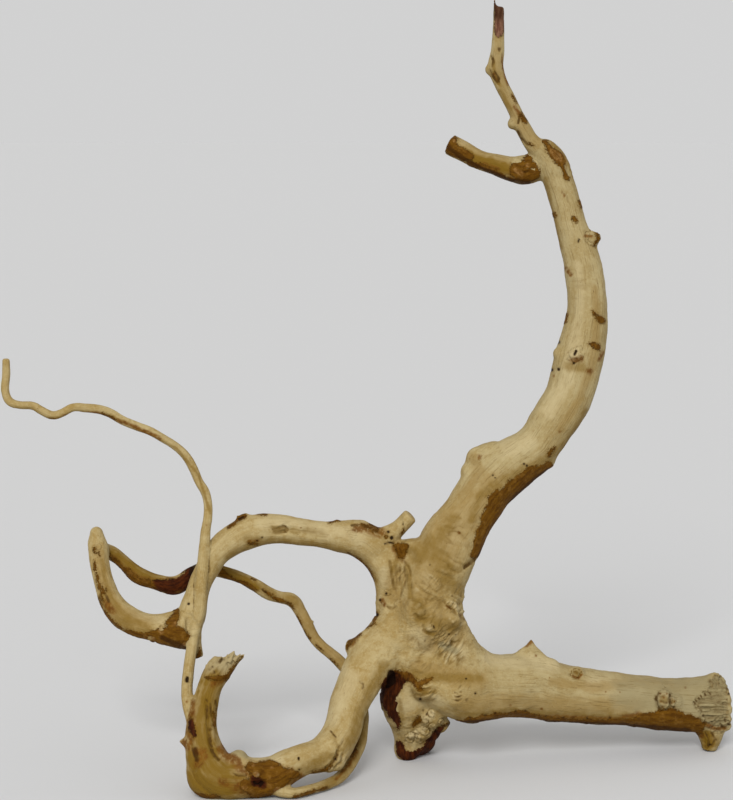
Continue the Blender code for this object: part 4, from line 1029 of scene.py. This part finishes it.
# Some kinds stand partly for light: olive, dun and dark are partly painted shade, pale is partly painted
# highlight, pit is painted shade in holes, and line is dark cracks with painted shade in creases, grooves
# and fold valleys.
SOFT_KINDS = (
    "stain", "red", "plum", "tan", "deep", "olive_and_shade", "dun_and_shade", "pale_and_highlight", "grey", "fresh", "dark_and_shade", "ripple", "pit_shade",
    "line", "bare")
NO_BARK = -4.0
RAGGED = ((4.6, 1.5), (1.9, 0.8))
TORN_RIDGES = np.array([0.34, 0.34, 0.05])
FLUTES = ((0.09, 3.4, 0.16), (0.16, 7.0, 0.22))
SWIRL_REACH = 11.0
SWIRL_DEPTH = 5.0
WRINKLE_SLANT = (0.77, 0.64)
WRINKLE_SPACING = np.array([8.5, 6.0, 2.4])
KNOTTY_RELIEF = (((272, 112, -4), 62.0), ((262, 50, 14), 34.0))


def marks_on(spots, ways):
    """Every mark, read at these spots: bark in millimetres inside its edge, the soft ones from
    0 to 1, how much the mark lifts the skin, and the fibre coordinates."""
    across, up = on_the_drawing(spots)
    limb_number, grain = fibres_of(spots)
    toward = viewer - spots
    toward /= np.linalg.norm(toward, axis=1)[:, None]
    facing = (toward * ways).sum(axis=1)
    front = np.clip((facing + 0.12) / 0.2, 0.0, 1.0)
    turned_away = np.clip(0.5 - facing, 0.0, 1.0)
    ragged = sum(rough(spots, reach) * depth for reach, depth in RAGGED)
    found = {kind: np.zeros(len(spots)) for kind in SOFT_KINDS}
    found["bark"] = np.full(len(spots), NO_BARK)
    lift = np.zeros(len(spots))
    names = list(lines)
    for name, kind, path, rise, all_round in marks:
        widest = max(width for _across, _up, width in path)
        reach = widest * 1.6 + 4.0
        near = (across > min(p[0] for p in path) - reach) & (across < max(p[0] for p in path) + reach)
        near &= (up > min(p[1] for p in path) - reach) & (up < max(p[1] for p in path) + reach)
        if name:
            near &= limb_number == names.index(name)
        if not all_round:
            near &= front > 0.0
        here = np.flatnonzero(near)
        if not len(here):
            continue
        deepest, share = inside(path, across[here], up[here])
        seen = np.ones(len(here)) if all_round else front[here]
        if kind == "bark":
            field = deepest + ragged[here] * min(1.0, 0.25 + widest / 5.0)
            if all_round:
                field = field + 4.5 * turned_away[here] * rough(spots[here], 11.0)
            field = np.where(seen > 0.5, field, NO_BARK)
            at_least(found["bark"], here, field)
            lift[here] += rise * np.clip(field / 0.8 + 0.5, 0.0, 1.0)
        elif kind == "ring":
            share = share + 0.45 * ragged[here]
            wave = fade(np.abs(share - 0.18), 0.25) - 0.9 * fade(np.abs(share + 0.12), 0.25)
            lift[here] += rise * wave * seen
            # Painted shade: the groove round the ring is painted dark.
            groove_shade = min(0.25 + 0.6 * rise, 0.9) * fade(np.abs(share + 0.12), 0.22) * seen
            groove_shade *= np.clip(0.6 + ragged[here], 0.0, 1.0)
            at_least(found["line"], here, groove_shade)
        elif kind == "torn":
            crumbs = rough(spots[here], 1.5)
            field = np.where(seen > 0.5, deepest + 1.7 * ragged[here] + 1.2 * crumbs, NO_BARK)
            core = np.clip(field / 0.7 + 0.5, 0.0, 1.0)
            ridges = ridged(grain[here] * TORN_RIDGES)
            lift[here] += core * (rise + 1.2 * ridges) + 1.1 * crumbs * fade(np.abs(field - 1.0), 4.0)
            # Painted shade: the valleys between the torn ridges are painted dark.
            valley_shade = core * np.clip(-0.05 - ridges, 0.0, 0.4) / 0.4
            at_least(found["line"], here, 0.6 * valley_shade)
            at_least(found["grey"], here, np.clip(field / 1.6 + 0.4, 0.0, 1.0))
            # Painted shadow: a dark line along the ragged lip of skin.
            broken = np.clip(0.5 + 1.6 * rough(spots[here], 2.4), 0.0, 1.0)
            at_least(found["line"], here, 0.9 * fade(np.abs(field), 0.9) * broken)
        elif kind in ("bump", "dent"):
            lift[here] += rise * fade(1.0 - share, 1.0) * seen
        elif kind in ("crack", "crease"):
            broken = np.clip(0.7 + 0.8 * ragged[here], 0.1, 1.0) * seen
            depth = fade(np.maximum(-deepest, 0.0), 0.75) * broken
            lift[here] += rise * fade(np.maximum(-deepest, 0.0), 1.2) * seen
            # Cracks and creases are painted dark along their grooves, cracks darker and with some near
            # black: painted shade in the groove.
            darkest, shade = (0.3, 1.0) if kind == "crack" else (0.0, 0.55)
            at_least(found["pit_shade"], here, darkest * depth)
            at_least(found["line"], here, shade * depth)
        # Pits are painted near black, with a dark rim: painted shade in the hole.
        elif kind == "pit_shade":
            depth = np.clip((deepest - 0.3 + 0.3 * ragged[here]) / 0.6 + 0.5, 0.0, 1.0) * seen
            lift[here] += rise * depth
            at_least(found["pit_shade"], here, depth)
            wide = fade(np.maximum(-deepest, 0.0), 0.8) * seen
            at_least(found["line"], here, 0.6 * wide)
        else:
            soft = np.clip((share + 0.5 + 0.22 * ragged[here]) / 1.35, 0.0, 1.0)
            soft = soft * soft * (3.0 - 2.0 * soft) * seen
            at_least(found[kind], here, soft)
            lift[here] += rise * fade(1.0 - share, 1.0) * seen
    found["bark"] -= 6.0 * found["bare"]
    for middle_across, middle_up, reach, angle, spacing, height in folds:
        gap = np.hypot(across - middle_across, up - middle_up)
        here = np.flatnonzero((gap < reach) & (facing > -0.1))
        if not len(here):
            continue
        right = across[here] * math.cos(angle) + up[here] * math.sin(angle)
        over = up[here] * math.cos(angle) - across[here] * math.sin(angle)
        wander = rough(spots[here], 11.0) * 2.2
        pattern = np.stack([
            right / (spacing * 5.0), (over + wander) / spacing, spots[here, 1] / 40.0], axis=1)
        ridge = ridged(pattern)
        seen = fade(gap[here], reach) * front[here]
        lift[here] += height * ridge * seen
        # Painted shade: the valleys between the fold ridges are painted dark.
        dark_and_shade = np.clip(-0.12 - ridge, 0.0, 0.38) / 0.38 * seen * min(height * 0.9, 1.0)
        at_least(found["line"], here, 0.42 * dark_and_shade)
    return found, lift, grain, facing


def worn(spots, grain):
    """The fine relief of bare wood, in millimetres: flutes along the fibres, and the wrinkles
    and small lumps of the knotty wood at the crown and on the burl."""
    flute = np.zeros(len(spots))
    for stretch, reach, depth in FLUTES:
        flute += rough(grain * np.array([1.0, 1.0, stretch]), reach) * depth
    flute += rough(spots, 2.6) * 0.1
    flute *= np.clip(radius_near(spots) / 9.0, 0.35, 1.0)
    knotty = nearness(spots, KNOTTY_RELIEF)
    swirl = np.stack([rough(spots + 40.0 * side, SWIRL_REACH) for side in (1, 2, 3)], axis=1)
    right, back, up = (spots + SWIRL_DEPTH * swirl).T
    lumps = rough(np.stack([right, back, up], axis=1), 7.0)
    level, steep = WRINKLE_SLANT
    slanted = np.stack([right * level + up * steep, back, up * level - right * steep], axis=1)
    wrinkles = ridged(slanted / WRINKLE_SPACING)
    return flute + knotty * (lumps * 0.85 + wrinkles * 0.45)


spots, ways = points_of(wood)
found, lift, grain, facing = marks_on(spots, ways)
move_to(wood, spots + ways * (lift + worn(spots, grain))[:, None])

pick(wood)
bpy.ops.object.modifier_add(type="DECIMATE")
wood.modifiers[-1].ratio = PIECE_TRIANGLES / (2 * len(wood.data.polygons))
bpy.ops.object.modifier_apply(modifier=wood.modifiers[-1].name)


# Standing it on the ground
# The drawing is measured from its own aim, so the piece is moved to stand under the middle of
# its box. Its feet are worn flat where they stand: the elbow, the burl and the stub.
AIM_FROM_MIDDLE = np.array([-6.126, 22.677, 0.0])

spots, ways = points_of(wood)
move_to(wood, spots + AIM_FROM_MIDDLE)
pick(wood)
bpy.ops.object.mode_set(mode="EDIT")
bpy.ops.mesh.select_all(action="SELECT")
bpy.ops.mesh.bisect(plane_co=(0, 0, 0), plane_no=(0, 0, 1), clear_inner=True, use_fill=True,
                    threshold=0.000001)
bpy.ops.mesh.select_all(action="SELECT")
bpy.ops.mesh.quads_convert_to_tris()
bpy.ops.object.mode_set(mode="OBJECT")
bpy.ops.object.shade_smooth()
wood.vertex_groups.clear()


# Colour of the wood
# Bare wood bleached to straw and cream, painted olive on its undersides as painted shade and cream on its
# crests as painted highlight. What bark is left is dark brown, thin and torn at its edges.
KNOTTY_COLOUR = (((264, 108, 0), 80.0), ((260, 48, 14), 30.0))
FIBROUS_LEAST = 0.4
FIBROUS_FROM = 35.0
FIBROUS_OVER = 50.0
RIPPLE_ANGLE = math.radians(48.0)
BUMP_DISTANCE = 0.0012

spots, ways = points_of(wood)
spots = spots - AIM_FROM_MIDDLE
found, lift, grain, facing = marks_on(spots, ways)
behind = np.clip(-facing * 2.5, 0.0, 1.0)
below = np.clip(-ways[:, 2] * 1.2 - 0.1 + rough(spots, 16.0) * 0.7, 0.0, 1.0)
long_grain = grain * np.array([1.0, 1.0, 0.3])
left_bark = (rough(spots, 19.0) + 0.3 * rough(spots, 6.0)) * 10.0 - 4.0 + 1.6 * below
found["bark"] = np.where(behind > 0.2, np.maximum(found["bark"], left_bark), found["bark"])
found["bark"] = np.clip(found["bark"], NO_BARK, 4.0)
# Painted shade: the undersides are painted olive, the more so the more they face down.
found["olive_and_shade"] = np.maximum(found["olive_and_shade"], below * 0.75)
found["stain"] = np.maximum(found["stain"], behind * np.clip(rough(long_grain, 11.0) * 1.6 - 0.2, 0.0, 0.7))
found["knotty"] = nearness(spots, KNOTTY_COLOUR)
rightward = (spots[:, 0] - FIBROUS_FROM) / FIBROUS_OVER
found["fibrous"] = np.clip(FIBROUS_LEAST + (1.0 - FIBROUS_LEAST) * rightward, FIBROUS_LEAST, 1.0)
# Painted shade and highlight from the relief: dark olive in its hollows and cream on its crests.
relief = lift + worn(spots, grain)
found["hollow_shade"] = np.clip((-0.05 - relief) / 0.7, 0.0, 1.0)
found["crest_highlight"] = np.clip((relief - 0.25) / 0.7, 0.0, 1.0)
for name, values in found.items():
    layer = wood.data.attributes.new(name, "FLOAT", "POINT")
    layer.data.foreach_set("value", values)
layer = wood.data.attributes.new("grain", "FLOAT_VECTOR", "POINT")
layer.data.foreach_set("vector", grain.ravel())

finish = bpy.data.materials.new("weathered_wood")
finish.use_nodes = True
tree = finish.node_tree
surface = tree.nodes["Principled BSDF"]


def paint(red, green, blue):
    """A colour as a paint card names it, 0 to 255, for the shader."""
    card = [value / 255 for value in (red, green, blue)]
    light = [value / 12.92 if value < 0.04045 else ((value + 0.055) / 1.055) ** 2.4 for value in card]
    return (*light, 1.0)


def add_node(kind, inputs, **settings):
    """A node of the finish, with values or other nodes' sockets on its inputs."""
    item = tree.nodes.new(kind)
    for name, value in settings.items():
        setattr(item, name, value)
    for name, value in inputs.items():
        if isinstance(value, bpy.types.NodeSocket):
            tree.links.new(value, item.inputs[name])
        else:
            item.inputs[name].default_value = value
    return item


def attribute(name, output="Fac"):
    """What the skin says of itself at each place."""
    return add_node("ShaderNodeAttribute", {}, attribute_name=name).outputs[output]


def mottle(vector, scale, detail=3.0, roughness=0.55):
    """Noise over a vector, 0 to 1."""
    item = add_node("ShaderNodeTexNoise", {
        "Vector": vector, "Scale": scale, "Detail": detail, "Roughness": roughness})
    return item.outputs["Fac"]


def stretched(vector, factors):
    """A vector with each of its parts scaled."""
    return add_node("ShaderNodeVectorMath", {0: vector, 1: factors}, operation="MULTIPLY").outputs[0]


def length_along(vector, way):
    """How far a vector reaches in one direction."""
    item = add_node("ShaderNodeVectorMath", {0: vector, 1: way}, operation="DOT_PRODUCT")
    return item.outputs["Value"]


def sum_of(operation, first, second):
    """Two values through one sum."""
    return add_node("ShaderNodeMath", {0: first, 1: second}, operation=operation).outputs[0]


def ramp(value, low, high, from_end=0.0, to_end=1.0):
    """A value's range turned into another, with a soft start and end."""
    item = add_node("ShaderNodeMapRange", {
        "Value": value, "From Min": low, "From Max": high, "To Min": from_end, "To Max": to_end})
    item.interpolation_type = "SMOOTHSTEP"
    return item.outputs["Result"]


def over(amount, below_it, on_top):
    """One colour or value laid over another."""
    item = add_node("ShaderNodeMix", {0: amount, 6: below_it, 7: on_top}, data_type="RGBA")
    return item.outputs[2]


def between(amount, first, second):
    """A value between two others."""
    return add_node("ShaderNodeMix", {0: amount, 2: first, 3: second}, data_type="FLOAT").outputs[0]


fibre = attribute("grain", "Vector")
spot = stretched(add_node("ShaderNodeTexCoord", {}).outputs["Object"], (1 / MM, 1 / MM, 1 / MM))
knotty = ramp(attribute("knotty"), 0.1, 0.6)
fine_lines = mottle(stretched(fibre, (1.0, 1.0, 0.035)), 1.15, 4.0, 0.6)
broad_lines = mottle(stretched(fibre, (1.0, 1.0, 0.06)), 0.33, 3.0, 0.5)
knotty_lines = mottle(stretched(spot, (0.9, 0.6, 1.3)), 0.45, 5.0, 0.62)
along_ripples = length_along(spot, (math.cos(RIPPLE_ANGLE), 0.0, math.sin(RIPPLE_ANGLE)))
over_ripples = length_along(spot, (-math.sin(RIPPLE_ANGLE), 0.0, math.cos(RIPPLE_ANGLE)))
ripple_axes = add_node("ShaderNodeCombineXYZ", {"X": along_ripples, "Y": 0.0, "Z": over_ripples}).outputs[0]
ripples = mottle(stretched(ripple_axes, (0.13, 1.0, 0.62)), 1.0, 2.0, 0.5)
ripple_here = ramp(attribute("ripple"), 0.1, 0.9)
lines_here = between(ripple_here, between(knotty, fine_lines, knotty_lines), ripples)
clouds = mottle(spot, 0.045, 4.0, 0.55)
specks = mottle(stretched(fibre, (1.0, 1.0, 0.4)), 0.95, 2.0, 0.5)
patchy = mottle(spot, 0.22, 4.0, 0.6)
fine_patches = mottle(spot, 0.7, 3.0, 0.6)

bare = over(ramp(clouds, 0.38, 0.62), paint(157, 134, 85), paint(173, 154, 109))
bare = over(ramp(broad_lines, 0.42, 0.7, 0.0, 0.45), bare, paint(144, 119, 67))
bare = over(ramp(patchy, 0.46, 0.7, 0.0, 0.6), bare, paint(144, 117, 63))
bare = over(ramp(fine_patches, 0.45, 0.7, 0.0, 0.35), bare, paint(183, 166, 123))
bare = over(ramp(attribute("fibrous"), FIBROUS_LEAST, 1.0, 0.0, 0.28), bare, paint(152, 142, 108))
# Washes over the bare wood: pale is partly and the cream of crests wholly painted highlight, dun is partly
# and the dark olive of hollows wholly painted shade, grey and fresh are the wood's own.
for name, most, wash in (
        ("pale_and_highlight", 0.45, paint(186, 170, 130)), ("dun_and_shade", 0.55, paint(138, 111, 60)),
        ("crest_highlight", 0.5, paint(186, 169, 128)), ("hollow_shade", 0.8, paint(116, 91, 44)),
        ("grey", 0.75, paint(139, 127, 93)), ("fresh", 0.85, paint(158, 142, 104))):
    bare = over(ramp(attribute(name), 0.0, 1.0, 0.0, most), bare, wash)
# Olive: the wood's own tint at some knots, and painted shade on undersides, edges and under buds.
olive_and_shade_here = sum_of("MULTIPLY", attribute("olive_and_shade"), ramp(patchy, 0.2, 0.6, 0.55, 1.0))
bare = over(ramp(olive_and_shade_here, 0.05, 1.0, 0.0, 0.66), bare, paint(118, 91, 33))
deep_streaks = mottle(stretched(fibre, (1.0, 1.0, 0.2)), 0.3)
deep_here = sum_of("MULTIPLY", attribute("deep"), ramp(deep_streaks, 0.3, 0.62, 1.0, 0.65))
bare = over(ramp(deep_here, 0.05, 0.8, 0.0, 0.95), bare, paint(114, 86, 22))
stain_here = sum_of("MULTIPLY", attribute("stain"), ramp(mottle(spot, 0.5), 0.3, 0.6, 0.5, 1.0))
stain_colour = over(ramp(patchy, 0.35, 0.65), paint(114, 74, 18), paint(92, 52, 11))
bare = over(ramp(stain_here, 0.05, 0.95, 0.0, 0.9), bare, stain_colour)
line_strength = ramp(lines_here, 0.53, 0.68)
line_share = sum_of("ADD", ramp(attribute("fibrous"), 0.0, 1.0, 0.1, 0.4),
                    sum_of("MULTIPLY", ripple_here, 0.25))
bare = over(sum_of("MULTIPLY", line_strength, line_share), bare, paint(100, 76, 30))
bare = over(ramp(specks, 0.7, 0.76, 0.0, 0.5), bare, paint(84, 54, 16))
# Dark lines: cracks, and painted shade in creases, grooves, fold valleys and round pits.
bare = over(ramp(attribute("line"), 0.1, 1.0, 0.0, 0.85), bare, paint(80, 55, 18))

bark_edge = sum_of("ADD", attribute("bark"), ramp(mottle(spot, 1.1, 4.0, 0.6), 0.0, 1.0, -1.5, 1.5))
bark_here = ramp(bark_edge, -0.2, 0.25)
bark_fringe = ramp(bark_edge, -1.8, 0.2, 0.0, 0.55)
bark_rim = sum_of("MULTIPLY", bark_here, ramp(bark_edge, 0.2, 1.0, 0.3, 0.0))
streaks = mottle(stretched(fibre, (1.0, 1.0, 0.22)), 0.55, 4.0, 0.62)
golden_bark = over(ramp(streaks, 0.3, 0.66), paint(80, 48, 6), paint(108, 72, 14))
golden_bark = over(ramp(mottle(spot, 0.25, 4.0, 0.6), 0.5, 0.68, 0.0, 0.6), golden_bark, paint(128, 91, 36))
tan_bark = over(ramp(mottle(spot, 0.5, 4.0, 0.6), 0.4, 0.62), paint(108, 72, 26), paint(142, 105, 56))
golden_bark = over(ramp(attribute("tan"), 0.1, 0.8, 0.0, 0.85), golden_bark, tan_bark)
red_bark = over(ramp(streaks, 0.38, 0.64), paint(46, 17, 5), paint(76, 35, 9))
bark_colour = over(ramp(attribute("red"), 0.2, 0.8), golden_bark, red_bark)
plum_skin = over(ramp(streaks, 0.4, 0.6), paint(96, 60, 46), paint(128, 92, 70))
bark_colour = over(ramp(attribute("plum"), 0.1, 0.6), bark_colour, plum_skin)
bark_colour = over(bark_rim, bark_colour, paint(48, 26, 7))
bark_colour = over(ramp(mottle(spot, 1.3, 3.0), 0.58, 0.72, 0.0, 0.4), bark_colour, paint(40, 20, 6))
colour = over(bark_fringe, bare, paint(108, 78, 22))
colour = over(bark_here, colour, bark_colour)
# Dark brown: bark tips and, mostly, painted shade along undersides and lower edges.
colour = over(ramp(attribute("dark_and_shade"), 0.05, 0.8, 0.0, 0.7), colour, paint(50, 26, 4))
# Near black: painted shade in pits and in the cores of cracks.
colour = over(ramp(attribute("pit_shade"), 0.05, 0.8, 0.0, 0.92), colour, paint(28, 15, 7))

line_height = sum_of("ADD", ramp(knotty, 0.0, 1.0, 0.6, 1.1), ripple_here)
height = between(bark_here, sum_of("MULTIPLY", lines_here, line_height),
                 sum_of("ADD", mottle(spot, 0.9, 4.0, 0.65), 0.5))
roughness = between(bark_here, ramp(patchy, 0.3, 0.7, 0.5, 0.64), 0.65)
tree.links.new(colour, surface.inputs["Base Color"])
tree.links.new(roughness, surface.inputs["Roughness"])
bumps = add_node("ShaderNodeBump", {"Height": height, "Distance": BUMP_DISTANCE, "Strength": 0.8})
tree.links.new(bumps.outputs["Normal"], surface.inputs["Normal"])
surface.inputs["Specular IOR Level"].default_value = 0.05
wood.data.materials.clear()
wood.data.materials.append(finish)

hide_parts("driftwood")
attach(wood, "root")


# The surface it stands on
# A wide, plain, pale table top, as pale as the walls, so that no edge shows.
FLOOR_RADIUS = 12.0
FLOOR_COLOUR = (0.5995, 0.5995, 0.5986, 1.0)

bpy.ops.mesh.primitive_circle_add(vertices=96, radius=FLOOR_RADIUS, fill_type="NGON", location=(0, 0, 0))
floor = bpy.context.object
floor.name = "pale_floor"
floor_paint = bpy.data.materials.new("pale_paint")
floor_paint.use_nodes = True
floor_surface = floor_paint.node_tree.nodes["Principled BSDF"]
floor_surface.inputs["Base Color"].default_value = FLOOR_COLOUR
floor_surface.inputs["Roughness"].default_value = 0.8
floor.data.materials.append(floor_paint)


# Light
# One broad soft light from above, in front and a little to the left, as from a tall window, and
# pale walls all round.
WINDOW_PLACE = (-0.35, -1.95, 1.6)
WINDOW_SPREAD = math.radians(22.0)
WINDOW_STRENGTH = 2.3
ROOM_STRENGTH = 0.64
AIM = Vector(AIM_FROM_MIDDLE) * MM + Vector((0.0, 0.0, AIM_HEIGHT)) * MM

bpy.ops.object.light_add(type="SUN", location=WINDOW_PLACE)
window = bpy.context.object
window.name = "window_light"
window.data.angle = WINDOW_SPREAD
window.data.energy = WINDOW_STRENGTH
window.rotation_euler = (AIM - window.location).to_track_quat("-Z", "Y").to_euler()
world = bpy.data.worlds.new("pale_room")
bpy.context.scene.world = world
world.use_nodes = True
walls = world.node_tree.nodes["Background"]
walls.inputs["Color"].default_value = (1.0, 1.0, 1.0, 1.0)
walls.inputs["Strength"].default_value = ROOM_STRENGTH
bpy.context.scene.view_settings.view_transform = "Standard"


# Camera
# It stands where the drawing's viewer does, a metre and a half off and a little above.
LENS = 108.0
SENSOR_WIDTH = 36.0

bpy.ops.object.camera_add(
    location=AIM - Vector(LOOK) * VIEWER_DISTANCE * MM,
    rotation=(math.radians(90.0) - VIEWER_DROP, 0.0, 0.0))
camera = bpy.context.object
camera.name = "viewer"
camera.data.sensor_fit = "AUTO"
camera.data.sensor_width = SENSOR_WIDTH
camera.data.lens = LENS
bpy.context.scene.camera = camera
